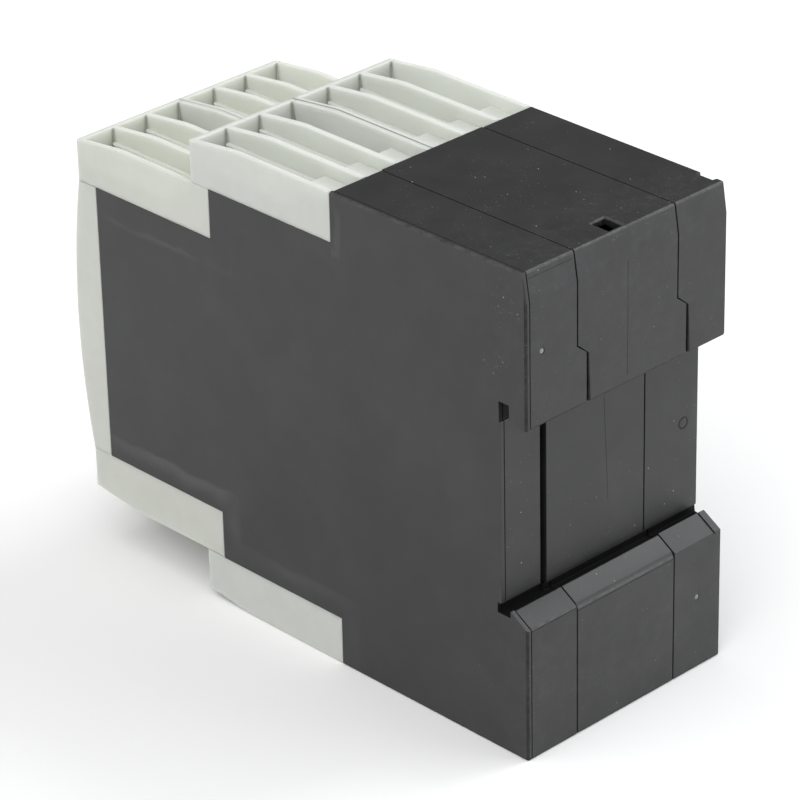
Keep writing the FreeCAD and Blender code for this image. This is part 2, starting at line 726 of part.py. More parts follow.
def contact_bars(label, y, z, upside_down):
    """Flat bars from the clamps down to the faces of the two side boards."""
    body = new_body(label, 0, y, z, upside_down)
    half_bar = s.bar_width / 2
    inner_face, outer_face = board_x - s.board / 2, board_x + s.board / 2
    high = -s.wall - s.bar_drop
    deep = high - s.bar_foot - s.bar_space
    bars = []
    ways = (
        ("inner_bar", -1, 1, inner_face, high),
        ("middle_bar", 0, -1, outer_face, high),
        ("outer_bar", 1, -1, outer_face, deep),
    )
    for name, way, side, face, level in ways:
        x = block_x + way * pitch
        near, far = x + side * half_bar, x - side * half_bar
        points = [(far, s.bar_top), (far, level - s.bar_foot), (face, level - s.bar_foot),
                  (face, level), (near, level), (near, s.bar_top)]
        sketch = new_sketch(body, name, "XZ_Plane", offset=bar_back)
        outline(sketch, points if side > 0 else points[::-1])
        bars.append(pad(body, sketch, s.bar_thickness))
    repeat(body, bars, [], mirrored=True)
    return body


# Front cover and the controls behind it
def bulged_outline(sketch, back, front, low, high):
    """Side view of the cover: straight back, front bulging forward on an arc."""
    chord = high - low
    radius = chord * chord / (8 * s.cover_bulge) + s.cover_bulge / 2
    outline(sketch, [(back, low), (back, high), (front, high), (front, low)],
            {2: ("X", front - s.cover_bulge + radius)})


def front_cover():
    body = new_body("front_cover")
    side = new_sketch(body, "cover_side", "YZ_Plane")
    bulged_outline(side, y_shell - s.cover_gap, y_cover, cover_low, cover_high)
    pad(body, side, s.case_width, both=True)
    inside = new_sketch(body, "cover_inside", "YZ_Plane")
    bulged_outline(inside, y_shell + OVERSHOOT, y_cover + s.cover_front, cover_low + s.cover_wall,
                   cover_high - s.cover_wall)
    pocket(body, inside, s.case_width - 2 * s.cover_wall, both=True)
    rim = new_sketch(body, "cover_spigot", "XZ_Plane", offset=s.spigot_root - y_shell)
    reach = s.wall + s.cover_gap
    for inset in (reach, reach + s.spigot_wall):
        rectangle(rim, (inset - half_width, front_shelf_foot + inset),
                  (half_width - inset, front_shelf_top - inset))
    pad(body, rim, board_front - s.board_gap - y_shell + s.spigot_root, reverse=True)
    holes = new_sketch(body, "control_openings", "XZ_Plane", offset=s.cover_bulge + OVERSHOOT - y_cover)
    for column in (0, 1):
        for level in (0, 1):
            circle(holes, knob_centre(column, level), s.knob + 2 * s.knob_gap)
    for light in range(3):
        circle(holes, (s.light_x, cover_mid + light_height(light)), s.light_guide + 2 * s.light_gap)
    stadium(holes, (s.button_x, cover_mid + s.button_z), s.button_length + 2 * s.button_gap,
            s.button_height + 2 * s.button_gap)
    block_outline(holes, (s.dip_x, cover_mid + s.dip_z), s.dip_width + 2 * s.dip_window_gap,
                  s.dip_height + 2 * s.dip_window_gap)
    pocket(body, holes, s.cover_bulge + s.cover_depth + OVERSHOOT)
    return body


def knob_centre(column, level):
    return s.knob_x + column * s.knob_pitch_x, cover_mid + s.knob_z + level * s.knob_pitch_z


def light_height(index):
    return s.light_z - index * s.light_pitch


def control_board():
    body = new_body("control_board")
    sheet_outline = new_sketch(body, "control_sheet", "XZ_Plane", offset=-control_back)
    inset = s.wall + s.cover_gap + s.spigot_wall + s.board_gap
    rectangle(sheet_outline, (inset - half_width, front_shelf_foot + inset),
              (half_width - inset, front_shelf_top - inset))
    pad(body, sheet_outline, s.board)
    return body


def threshold_switches():
    body = new_body("threshold_switches")
    case = new_sketch(body, "switch_case", "XZ_Plane", offset=-control_front)
    block_outline(case, knob_centre(0, 0), s.switch_side, s.switch_side)
    switch = pad(body, case, s.switch_height)
    bore = new_sketch(body, "switch_bore", "XZ_Plane", offset=s.switch_height - control_front)
    circle(bore, knob_centre(0, 0), s.knob_shaft + 2 * s.shaft_gap)
    hole = pocket(body, bore, s.shaft_length - s.knob_lift + s.shaft_gap)
    repeat(body, [switch, hole], [("X_Axis", 2, s.knob_pitch_x), ("Z_Axis", 2, s.knob_pitch_z)])
    return body


def setting_knob(label, column, level):
    x, z = knob_centre(column, level)
    body = new_body(label, x, 0, z)
    back = control_front - s.switch_height - s.knob_lift
    face = cover_face(s.knob_z + level * s.knob_pitch_z) + s.knob_sink
    half = new_sketch(body, "knob_half", "XY_Plane")
    outline(half, [
        (0, face),
        (s.knob / 2, face),
        (s.knob / 2, back),
        (s.knob_shaft / 2, back),
        (s.knob_shaft / 2, back + s.shaft_length),
        (0, back + s.shaft_length),
    ])
    revolve(body, half)
    slot = new_sketch(body, "knob_slot", "XZ_Plane", offset=-face)
    tip = s.knob / 2 - s.knob_slot
    arm = s.knob_slot / 2
    barb = tip - s.knob_slot
    outline(slot, [(-arm, -tip), (arm, -tip), (arm, barb), (s.knob_slot, barb), (0, tip), (-s.knob_slot, barb),
                   (-arm, barb)])
    pocket(body, slot, s.knob_slot_depth)
    return body


def button_planes():
    """Front face of the plunger, rear end of the button's stem, and front of its collar."""
    plunger_face = control_front - s.press_switch_height - s.plunger_height
    stem = plunger_face - s.plunger_gap - s.button_travel
    collar = cover_face(s.button_z) + s.cover_front + s.button_gap
    return plunger_face, stem, collar


def test_button():
    plunger_face, stem, collar = button_planes()
    face = cover_face(s.button_z) + s.button_sink
    body = new_body("test_button", s.button_x, 0, cover_mid + s.button_z)
    centre = (as_size(0), as_size(0))
    cap = new_sketch(body, "button_cap", "XZ_Plane", offset=-collar)
    stadium(cap, centre, s.button_length, s.button_height)
    pad(body, cap, collar - face)
    rim = new_sketch(body, "button_collar", "XZ_Plane", offset=-collar)
    grow = 4 * s.button_gap
    block_outline(rim, centre, s.button_length + grow, s.button_height + grow)
    pad(body, rim, s.button_flange, reverse=True)
    post = new_sketch(body, "button_stem", "XZ_Plane", offset=-stem)
    block_outline(post, centre, s.plunger, s.plunger)
    pad(body, post, stem - collar)
    return body


def test_switch():
    body = new_body("test_switch", s.button_x, control_front, cover_mid + s.button_z)
    centre = (as_size(0), as_size(0))
    case = new_sketch(body, "press_case", "XZ_Plane")
    block_outline(case, centre, s.press_switch_side, s.press_switch_side)
    pad(body, case, s.press_switch_height)
    post = new_sketch(body, "press_plunger", "XZ_Plane", offset=s.press_switch_height)
    circle(post, centre, s.plunger)
    pad(body, post, s.plunger_height)
    return body


def dip_place(index):
    """Middle of one slider's slot, counted from the left."""
    return s.dip_x + (index - 1.5) * s.dip_pitch, cover_mid + s.dip_z


def dip_switch_body():
    body = new_body("dip_switch_body")
    case = new_sketch(body, "dip_case", "XZ_Plane", offset=-control_front)
    block_outline(case, (s.dip_x, cover_mid + s.dip_z), s.dip_width, s.dip_height)
    pad(body, case, s.dip_depth)
    slot = new_sketch(body, "dip_slot", "XZ_Plane", offset=s.dip_depth - control_front)
    block_outline(slot, dip_place(0), s.dip_slot_width, s.dip_slider + s.dip_travel + 2 * s.dip_gap)
    cut = pocket(body, slot, s.dip_slot_depth)
    repeat(body, [cut], [("X_Axis", 4, s.dip_pitch)])
    return body


def dip_slider(index):
    x, z = dip_place(index)
    body = new_body(f"dip_slider_{index + 1}", x, control_front - s.dip_depth, z)
    nub = new_sketch(body, "slider_nub", "XZ_Plane", offset=s.dip_gap - s.dip_slot_depth)
    block_outline(nub, (as_size(0), -s.dip_travel / 2), s.dip_slot_width - 2 * s.dip_gap, s.dip_slider)
    pad(body, nub, s.dip_slot_depth - s.dip_gap + s.dip_stand)
    return body


def light_guide(label, index):
    height = light_height(index)
    lamp_face = control_front - s.lamp_height
    back = lamp_face - s.lamp_gap
    face = cover_face(height) + s.light_gap
    body = new_body(label, s.light_x, 0, cover_mid + height)
    rod = new_sketch(body, "guide_rod", "XZ_Plane", offset=-back)
    circle(rod, (0, 0), s.light_guide)
    pad(body, rod, back - face)
    return body


def indicator_lamps():
    body = new_body("indicator_lamps", s.light_x, control_front, cover_mid + light_height(2))
    chip = new_sketch(body, "lamp_chip", "XZ_Plane")
    block_outline(chip, (as_size(0), as_size(0)), s.lamp_side, s.lamp_side)
    lamp = pad(body, chip, s.lamp_height)
    repeat(body, [lamp], [("Z_Axis", 3, s.light_pitch)])
    return body


# Side boards and what they carry
def side_board(label, side):
    body = new_body(label, side * board_x, 0, 0)
    sheet_outline = new_sketch(body, "board_sheet", "YZ_Plane")
    inset = s.wall + s.board_gap
    back = -inset
    outline(sheet_outline, [
        (back, under + inset),
        (back, top - inset),
        (y_roof + inset, top - inset),
        (y_roof + inset, rear_shelf_top - inset),
        (y_tier + inset, rear_shelf_top - inset),
        (y_tier + inset, front_shelf_top - inset),
        (board_front, front_shelf_top - inset),
        (board_front, front_shelf_foot + inset),
        (y_tier + inset, front_shelf_foot + inset),
        (y_tier + inset, rear_shelf_foot + inset),
        (y_roof + inset, rear_shelf_foot + inset),
        (y_roof + inset, under + inset),
    ])
    pad(body, sheet_outline, s.board, both=True)
    return body


def transformer():
    """A ferrite core with the winding round its middle leg, on the right board."""
    face = board_x + s.board / 2
    core_thick = board_room - 2 * s.winding_over - 2 * s.winding_gap
    core = new_body("transformer_core", face + s.winding_over + s.winding_gap, s.core_y, 0)
    centre = (as_size(0), as_size(0))
    plates = new_sketch(core, "core_plates", "YZ_Plane")
    block_outline(plates, centre, s.core_width, s.core_height)
    window = (s.core_width - s.core_leg) / 2 - s.core_yoke
    for side in (-1, 1):
        place = (side * (s.core_leg + window) / 2, as_size(0))
        block_outline(plates, place, window, s.core_height - 2 * s.core_yoke)
    pad(core, plates, core_thick)
    winding = new_body("transformer_winding", face, s.core_y, 0)
    tall = s.core_height - 2 * s.core_yoke - 2 * s.winding_gap
    turns = new_sketch(winding, "winding_turns", "XY_Plane")
    inner_x = s.winding_over
    inner_y = s.core_leg / 2 + s.winding_gap
    outer_y = s.core_leg / 2 + window - s.winding_gap
    across = core_thick + 2 * s.winding_gap
    rectangle(turns, (as_size(0), -outer_y), (across + 2 * s.winding_over, outer_y))
    rectangle(turns, (inner_x, -inner_y), (inner_x + across, inner_y))
    pad(winding, turns, tall, both=True)
    return core, winding


def output_relays():
    body = new_body("output_relays", -board_x - s.board / 2, s.relay_y, 0)
    case = new_sketch(body, "relay_case", "YZ_Plane")
    block_outline(case, (as_size(0), as_size(0)), s.relay_width, s.relay_height)
    relay = pad(body, case, s.relay_thick, reverse=True)
    repeat(body, [relay], [("Y_Axis", 2, s.relay_pitch)])
    return body


def supply_capacitors():
    body = new_body("supply_capacitors", board_x + s.board / 2, s.capacitor_y, 0)
    can = new_sketch(body, "capacitor_can", "YZ_Plane")
    many_sided(can, (as_size(0), -s.capacitor_pitch / 2), s.capacitor, CAN_SIDES)
    one = pad(body, can, board_room)
    repeat(body, [one], [("Z_Axis", 2, s.capacitor_pitch)])
    return body


def board_connectors():
    """Pin strips that join each side board to the control board."""
    body = new_body("board_connectors", 0, control_back, cover_mid)
    strip = new_sketch(body, "connector_strip", "XY_Plane")
    face = board_x - s.board / 2
    rectangle(strip, (face - s.connector_thick, as_size(0)), (face, s.control_gap + s.connector_lap))
    one = pad(body, strip, s.connector_length, both=True)
    repeat(body, [one], [], mirrored=True)
    return body


def build():
    pieces = case_sections()
    pieces.append(front_cover())
    for tier, y, z, upside_down in TIERS:
        for hand, side in (("left", -1), ("right", 1)):
            label = f"{tier}_terminal_block_{hand}"
            pieces.append(terminal_block(label, side * block_x, y, z, upside_down))
        pieces.append(terminal_screws(f"{tier}_terminal_screws", y, z, upside_down))
        pieces.append(clamp_cages(f"{tier}_clamp_cages", y, z, upside_down))
        pieces.append(contact_bars(f"{tier}_contact_bars", y, z, upside_down))
    pieces += [side_board("left_circuit_board", -1), side_board("right_circuit_board", 1), control_board()]
    pieces += [*transformer(), output_relays(), supply_capacitors(), board_connectors()]
    pieces.append(threshold_switches())
    for name, level in (("first", 1), ("second", 0)):
        for place, column in (("tens", 0), ("units", 1)):
            pieces.append(setting_knob(f"{name}_threshold_{place}_knob", column, level))
    pieces += [test_button(), test_switch(), dip_switch_body()]
    pieces += [dip_slider(index) for index in range(4)]
    for index, name in enumerate(("supply", "fault", "relay")):
        pieces.append(light_guide(f"{name}_light_guide", index))
    pieces.append(indicator_lamps())
    doc.recompute()
    return pieces


def check(pieces):
    """Stops if a feature failed, a cut removed nothing or a piece isn't a sound solid."""
    for item in doc.Objects:
        if "Invalid" in item.State or "Error" in item.State:
            raise RuntimeError(f"{item.Label} failed: {item.State}")
        if item.TypeId == "PartDesign::Pocket" and item.BaseFeature.Shape.Volume - item.Shape.Volume < 1e-6:
            raise RuntimeError(f"{item.Label} cuts nothing")
    for piece in pieces:
        if piece.Shape.isNull() or not piece.Shape.isValid() or not piece.Shape.Solids:
            raise RuntimeError(f"{piece.Label} is not a sound solid")


def export(pieces):
    os.makedirs("parts", exist_ok=True)
    for piece in pieces:
        piece.Shape.exportStep(f"parts/{piece.Label}.step")
        print(piece.Label, len(piece.Shape.Solids), "solids", round(piece.Shape.Volume, 1), "mm3")


pieces = build()
check(pieces)
export(pieces)
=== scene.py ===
# %% [markdown]
# An insulation monitoring relay for a mounting rail, seen from behind. The black case is three
# mouldings, two side shells and a middle section, and light grey terminal blocks and a front cover
# close it. The construction model brings every piece at its real size, so this lesson doesn't build
# the case again: it softens the edges as a mould does, gives each piece its finish and lights it.

# %% Load the construction model
import json
import math

import bmesh
import bpy
from mathutils import Matrix, Vector
from mathutils.bvhtree import BVHTree


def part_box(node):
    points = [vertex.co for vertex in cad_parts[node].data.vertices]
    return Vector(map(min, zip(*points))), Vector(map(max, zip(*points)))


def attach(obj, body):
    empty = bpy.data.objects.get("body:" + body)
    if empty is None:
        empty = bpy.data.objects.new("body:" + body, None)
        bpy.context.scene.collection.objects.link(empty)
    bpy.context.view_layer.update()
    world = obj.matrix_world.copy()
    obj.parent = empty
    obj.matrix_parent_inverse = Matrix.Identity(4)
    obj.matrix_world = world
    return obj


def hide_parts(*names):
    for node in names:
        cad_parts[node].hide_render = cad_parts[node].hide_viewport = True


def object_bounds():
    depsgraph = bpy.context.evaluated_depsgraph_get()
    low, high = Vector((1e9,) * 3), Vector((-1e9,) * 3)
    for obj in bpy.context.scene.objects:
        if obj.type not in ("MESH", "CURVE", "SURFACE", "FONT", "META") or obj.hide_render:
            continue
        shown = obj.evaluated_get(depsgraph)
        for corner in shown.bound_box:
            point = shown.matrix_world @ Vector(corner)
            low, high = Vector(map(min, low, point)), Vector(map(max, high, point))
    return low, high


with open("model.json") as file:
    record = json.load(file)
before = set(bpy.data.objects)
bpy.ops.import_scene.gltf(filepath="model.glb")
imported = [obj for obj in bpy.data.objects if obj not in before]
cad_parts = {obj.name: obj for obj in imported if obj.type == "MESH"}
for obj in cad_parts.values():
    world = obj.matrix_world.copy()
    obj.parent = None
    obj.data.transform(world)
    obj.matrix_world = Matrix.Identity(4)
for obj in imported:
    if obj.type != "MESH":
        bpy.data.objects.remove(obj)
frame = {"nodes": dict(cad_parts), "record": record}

CAD_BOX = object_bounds()
MM = 0.001
nodes = frame["nodes"]
record = frame["record"]
body_of_node = {node: body for body, members in record["behaviour"]["bodies"].items() for node in members}
slot_of_node = {row["node"]: row["material_slot"] for row in record["subparts"]}

# %% [markdown]
# A finish is a small network of nodes. Wiring it by hand takes a line for every link, so one class
# wraps a socket and lets arithmetic make the nodes: `grain * 0.3 + 0.4` adds two Math nodes. A
# node that isn't arithmetic comes from the method `node`, which sets its options before its sockets.

# %% Shader arithmetic
class Flow:
    """A socket in a material's node tree that can be added, multiplied and compared."""

    def __init__(self, tree, socket=None):
        self.tree = tree
        self.socket = socket

    def node(self, kind, options=None, sockets=None, output=0):
        """Adds a node, sets its options, then its sockets, and returns one of its outputs."""
        made = self.tree.nodes.new(kind)
        for name, value in (options or {}).items():
            setattr(made, name, value)
        for name, value in (sockets or {}).items():
            if isinstance(value, Flow):
                self.tree.links.new(value.socket, made.inputs[name])
            else:
                made.inputs[name].default_value = value
        return Flow(self.tree, made.outputs[output])

    def math(self, operation, first, second=0.0):
        return self.node("ShaderNodeMath", {"operation": operation}, {0: first, 1: second})

    def __add__(self, other):
        return self.math("ADD", self, other)

    def __radd__(self, other):
        return self.math("ADD", other, self)

    def __sub__(self, other):
        return self.math("SUBTRACT", self, other)

    def __rsub__(self, other):
        return self.math("SUBTRACT", other, self)

    def __mul__(self, other):
        return self.math("MULTIPLY", self, other)

    def __rmul__(self, other):
        return self.math("MULTIPLY", other, self)

    def __mod__(self, other):
        return self.math("FLOORED_MODULO", self, other)

    def __rmod__(self, other):
        return self.math("FLOORED_MODULO", other, self)

    def __lt__(self, other):
        return self.math("LESS_THAN", self, other)

    def __gt__(self, other):
        return self.math("GREATER_THAN", self, other)

    def __abs__(self):
        return self.math("ABSOLUTE", self)

    def least(self, other):
        return self.math("MINIMUM", self, other)

    def most(self, other):
        return self.math("MAXIMUM", self, other)

    def fade(self, low, high):
        """0 below low, 1 above high, with a smooth run between."""
        options = {"interpolation_type": "SMOOTHSTEP"}
        sockets = {"Value": self, "From Min": low, "From Max": high}
        return self.node("ShaderNodeMapRange", options, sockets)

    def band(self, rise_from, rise_to, fall_from, fall_to):
        """1 between the two middle limits, with a smooth run down to 0 at the outer ones."""
        return self.fade(rise_from, rise_to) * (1.0 - self.fade(fall_from, fall_to))

    def tint(self, first, second):
        """Mixes two colours, this value being the share of the second."""
        return self.node("ShaderNodeMix", {"data_type": "RGBA"}, {0: self, 6: first, 7: second}, 2)

    def noise(self, place, scale, detail=2.0, rough=0.5):
        sockets = {"Vector": place, "Scale": scale, "Detail": detail, "Roughness": rough}
        return self.node("ShaderNodeTexNoise", {}, sockets, 0)

    def along(self, place, axis):
        return self.node("ShaderNodeSeparateXYZ", {}, {"Vector": place}, axis)


print("shader arithmetic ready")

# %% [markdown]
# Every finish here starts from Blender's Principled shader and reads Object coordinates, so that its
# pattern stays on the piece when the piece moves. A few helpers make that start, feed the shader's
# sockets by name, turn a noise into a fine relief, and mix in painted shade, a matte dark shader.

# %% Start a finish
def rgb(red, green, blue):
    return (red, green, blue, 1.0)


def scaled(skin, share):
    return rgb(*(share * channel for channel in skin))


def new_finish(name):
    """An empty material: its wiring, its surface shader and the place on the object."""
    material = bpy.data.materials.new(name)
    material.use_nodes = True
    tree = material.node_tree
    surface = tree.nodes["Principled BSDF"]
    wiring = Flow(tree)
    place = wiring.node("ShaderNodeTexCoord", output="Object")
    return material, wiring, surface, place


def lead(surface, **inputs):
    """Feeds the surface shader's sockets, links and plain numbers alike."""
    for name, value in inputs.items():
        socket = surface.inputs[name.replace("_", " ").title().replace("Ior", "IOR")]
        if isinstance(value, Flow):
            value.tree.links.new(value.socket, socket)
        else:
            socket.default_value = value


def grain(wiring, height, strength, depth):
    return wiring.node("ShaderNodeBump", {}, {"Height": height, "Strength": strength, "Distance": depth})


def attribute(wiring, name):
    return wiring.node("ShaderNodeAttribute", {"attribute_name": name}, {}, "Fac")


def mix_dirt(wiring, surface, share, colour):
    """Mixes painted shade, a matte dark shader without gloss, into a finish."""
    clean = Flow(wiring.tree, surface.outputs[0])
    painted_shade = wiring.node("ShaderNodeBsdfDiffuse", {}, {"Color": colour})
    mixed = wiring.node("ShaderNodeMixShader", {}, {0: share, 1: clean, 2: painted_shade})
    wiring.tree.links.new(mixed.socket, wiring.tree.nodes["Material Output"].inputs["Surface"])


print("finishes can be started")

# %% [markdown]
# Dust sticks to black plastic as pale specks. A Voronoi texture scatters one point in every cell, so
# a speck is what lies nearest to a point, and two dice in the cell's colour decide whether the cell
# has a speck and how large it is. A slow noise gathers the specks in drifts, as real dust does.

# %% Dust
def specks(wiring, place, cells_per_metre, share, smallest, spread):
    """1 inside a speck and 0 elsewhere; share is how many cells have one."""
    cells = {"Vector": place, "Scale": cells_per_metre, "Randomness": 1.0}
    distance = wiring.node("ShaderNodeTexVoronoi", {}, cells, "Distance")
    dice = wiring.node("ShaderNodeTexVoronoi", {}, cells, "Color")
    lot = wiring.node("ShaderNodeSeparateColor", {}, {"Color": dice}, "Red")
    size = wiring.node("ShaderNodeSeparateColor", {}, {"Color": dice}, "Green")
    return (distance < size * size * spread + smallest) * (lot < share)


print("dust ready")

# %% [markdown]
# Plastic that runs into a mould cools first along the walls, which leaves faint bands that follow the
# outline. The side of this case has a stepped outline, so the bands need the distance to it. Inside
# one step that is the larger of two plain distances, and over all steps it is the smallest of those.

# %% Distance to the stepped outline
TIERS = ("upper_rear", "upper_front", "lower_rear", "lower_front")


def outline_distance(wiring, place):
    y, z = wiring.along(place, "Y"), wiring.along(place, "Z")
    inside = None
    for tier in TIERS:
        low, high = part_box(f"{tier}_terminal_block_right")
        below = low.z - z if tier.startswith("upper") else z - high.z
        step = (y - high.y).most(below)
        inside = step if inside is None else inside.least(step)
    return inside


print("outline distance ready for", len(TIERS), "steps")

# %% [markdown]
# The flow marks on the real side aren't the same all round. Below, a pale band follows the steps and
# ends sharply on its inner side. Above, there is only a thin line, and a short streak behind the step
# in the roof. All fade towards the rear, where the plastic arrived last. Each mark is a band of the
# distance to the outline, and a noise makes it stray and break up.

# %% Flow marks
ROOF_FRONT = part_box("upper_rear_terminal_block_right")[1].y
STRAY = 2.2 * MM
WIDE_BAND = (0.9 * MM, 3.6 * MM, 4.0 * MM, 4.9 * MM)
THIN_LINE = (4.2 * MM, 4.9 * MM, 5.0 * MM, 5.8 * MM)
STREAK = (0.6 * MM, 1.4 * MM, 2.0 * MM, 2.8 * MM)
STREAK_HEIGHT = (24.0 * MM, 27.0 * MM, 38.0 * MM, 40.0 * MM)
FADES_OVER = (-95.0 * MM, -8.0 * MM)


def flow_marks(wiring, place, cloud):
    """How pale the flow marks are, from 0 to about a half."""
    y, z = wiring.along(place, "Y"), wiring.along(place, "Z")
    depth = outline_distance(wiring, place) + (cloud - 0.5) * STRAY
    broken = wiring.noise(place, 48.0, 2.0, 0.5).fade(0.36, 0.6)
    frontward = 1.0 - y.fade(*FADES_OVER)
    below = z < 0.0
    wide = below * depth.band(*WIDE_BAND) * (broken * 0.7 + 0.3) * (frontward * 0.38 + 0.06)
    thin = (1.0 - below) * depth.band(*THIN_LINE) * broken * frontward * frontward * 0.3
    streak = depth.band(*STREAK) * (y > ROOF_FRONT + 0.2 * MM) * z.band(*STREAK_HEIGHT) * 0.2
    return wide + thin + streak


print("the streak starts", round(-ROOF_FRONT / MM, 1), "mm in front of the rail seat")

# %% [markdown]
# Two places on the rear get a painted look of their own. The slope on top of the lower hook carries a
# pale painted sheen in the middle section, standing in for the light it mirrors. The notches behind both
# hooks, where the rail's flanges go, get painted shade. Both are boxes, written as products of comparisons.

# %% The hooks' slope and notches
NOTCH_FRONT, NOTCH_REAR, NOTCH_SIDE = -1.4 * MM, 1.6 * MM, 22.4 * MM
NOTCH_REACH, UPPER_LIP, LOWER_LIP = 18.9 * MM, 15.45 * MM, -17.5 * MM
SLOPE_FRONT, SLOPE_TOP, SLOPE_FOOT = 1.0 * MM, -16.0 * MM, -19.6 * MM


def on_slope(y, z):
    return (y > SLOPE_FRONT) * (z < SLOPE_TOP) * (z > SLOPE_FOOT)


def in_notch(x, y, z):
    at_seat = (y < NOTCH_REAR) * (y > NOTCH_FRONT) * (abs(x) < NOTCH_SIDE)
    return at_seat * (abs(z) < NOTCH_REACH) * (z > UPPER_LIP).most(z < LOWER_LIP)


print("the notches are", round(2 * NOTCH_REACH / MM, 1), "mm from end to end")

# %% [markdown]
# The case is moulded in black plastic with a satin skin. What keeps it from looking like a flat black:
# a very fine grain from the tool, smudges, the flow marks, and a dusty film near the rear corners,
# where the relay is held. Rounded edges carry a mark of their own that paints light and shade on
# them. Above zero, on edges that look up, it is a painted highlight, and far above zero a painted
# highlight on the stub of a gate. Below zero it is painted shade on upright edges and in the rims of
# the marks, a matte dark shader mixed in, as is the painted shade in the flange notches.

# %% Black moulded plastic
BLACK_SKIN = (0.0145, 0.0147, 0.0157)
FILM_AND_SHEEN = rgb(0.09, 0.09, 0.088)
PAINTED_HIGHLIGHT = rgb(0.085, 0.084, 0.081)
GATE_HIGHLIGHT = rgb(0.20, 0.215, 0.21)
LINT = rgb(0.46, 0.46, 0.45)
PAINTED_SHADE_COLOUR = rgb(0.007, 0.007, 0.007)
HELD_DEPTH, HELD_HEIGHT = (-13.0 * MM, 3.0 * MM), (8.0 * MM, 30.0 * MM)
DUSTY_SIDE = (14.0 * MM, 22.0 * MM)
ROOF_SKIN = (CAD_BOX[1].z - 0.2 * MM, CAD_BOX[1].z - 0.1 * MM)
GRAIN_DEPTH = 0.04 * MM


def black_moulding(name, is_side):
    """The case's plastic: a side has flow marks, the middle section a painted sheen on the hook's slope."""
    material, wiring, surface, place = new_finish(name)
    x, y, z = (wiring.along(place, axis) for axis in "XYZ")
    smudge = wiring.noise(place, 55.0, 4.0, 0.6)
    cloud = wiring.noise(place, 170.0, 3.0, 0.55)
    fine = wiring.noise(place, 9000.0, 1.0)
    haze = wiring.noise(place, 480.0, 5.0, 0.75).fade(0.42, 0.8)
    patchy = wiring.noise(place, 700.0, 3.0, 0.7).fade(0.25, 0.7)
    drift = wiring.noise(place, 110.0, 2.0, 0.6).fade(0.4, 0.64)
    tone = (smudge * 0.55 + cloud * 0.45).fade(0.3, 0.7)
    colour = tone.tint(scaled(BLACK_SKIN, 0.75), scaled(BLACK_SKIN, 1.3))

    held = y.fade(*HELD_DEPTH) * (abs(z).fade(*HELD_HEIGHT) * 0.8 + 0.2)
    film_and_sheen = smudge.fade(0.5, 0.8) * 0.09 + haze * (held * 0.2 + 0.02)
    # On the middle section, the pale share on the hook's slope is a painted sheen for the light the slope
    # mirrors.
    film_and_sheen = film_and_sheen + (flow_marks(wiring, place, cloud) if is_side else on_slope(y, z) * 0.16)
    colour = film_and_sheen.tint(colour, FILM_AND_SHEEN)

    # Painted light on rounded edges: a painted highlight on edges that look up and on gate stubs, painted
    # shade on upright edges.
    painted_edge_light = attribute(wiring, "painted_edge_light")
    edge_highlight, edge_shade = painted_edge_light.most(0.0) * patchy, (painted_edge_light * -1.0).fade(0.4, 0.9)
    colour = (edge_highlight * 0.55).tint(colour, PAINTED_HIGHLIGHT)
    colour = painted_edge_light.fade(1.5, 2.5).tint(colour, GATE_HIGHLIGHT)

    dusty = held * (abs(x).fade(*DUSTY_SIDE) * 0.75 + 0.25) * 0.85
    share = (dusty + z.fade(*ROOF_SKIN) * 0.5) * drift
    dust = specks(wiring, place, 1000.0, share + 0.07, 0.025, 0.08)
    bloom = specks(wiring, place, 2600.0, share * 0.9 + 0.02, 0.08, 0.11)
    colour = (dust * 0.85).most(bloom * 0.35).tint(colour, LINT)

    rough = 0.33 + smudge * 0.12 + fine * 0.04 + dust * 0.3 + haze * held * 0.1
    lead(surface, base_color=colour, roughness=rough, normal=grain(wiring, fine, 0.10, GRAIN_DEPTH))
    # Painted shade: a matte dark shader on upright edges, in the marks' rims and in the flange notches.
    painted_shade = (edge_shade * (patchy * 0.3 + 0.2)).most(in_notch(x, y, z) * 0.8)
    mix_dirt(wiring, surface, painted_shade, PAINTED_SHADE_COLOUR)
    return material


black_shell_finish = black_moulding("black_shell_finish", True)
black_centre_finish = black_moulding("black_centre_finish", False)
print("black mouldings", black_shell_finish.name, black_centre_finish.name)

# %% [markdown]
# The terminal blocks and the cover are light grey. Thin moulded walls look slightly milky, and old
# ones turn a little yellow, the front tier more than the rear one here. Two soft noises shade the
# colour by a few percent, which is all that a clean light plastic needs. Painted shade darkens the
# narrow gap between the left and the right blocks and one corner of each trough, and the troughs'
# insides get a paler skin as painted light. Subsurface scattering gives the milkiness.

# %% Light grey moulded plastic
FIRST_DIVIDER, BLOCK_PITCH, WAY_PITCH = 21.6 * MM, 22.5 * MM, 7.25 * MM
FRONT_WALL, CORNER_WIDTH = 1.2 * MM, 0.8 * MM
GAP_BETWEEN_BLOCKS = (0.12 * MM, 0.2 * MM)
SIDE_SKIN, FRONT_SKIN = 0.3 * MM, 0.5 * MM
MILKY_DEPTH = 2.2 * MM
GRIME = rgb(0.36, 0.35, 0.31)
PAINTED_GAP_SHADE = rgb(0.10, 0.10, 0.092)


def trough_corner(x, y, front):
    """1 in the front corner of a trough, on its divider's side, and 0 away from it."""
    beside = (x + FIRST_DIVIDER) % BLOCK_PITCH % WAY_PITCH
    behind = y - (front + FRONT_WALL)
    return (1.0 - beside.most(behind).fade(0.0, CORNER_WIDTH)) * (behind > -0.05 * MM)


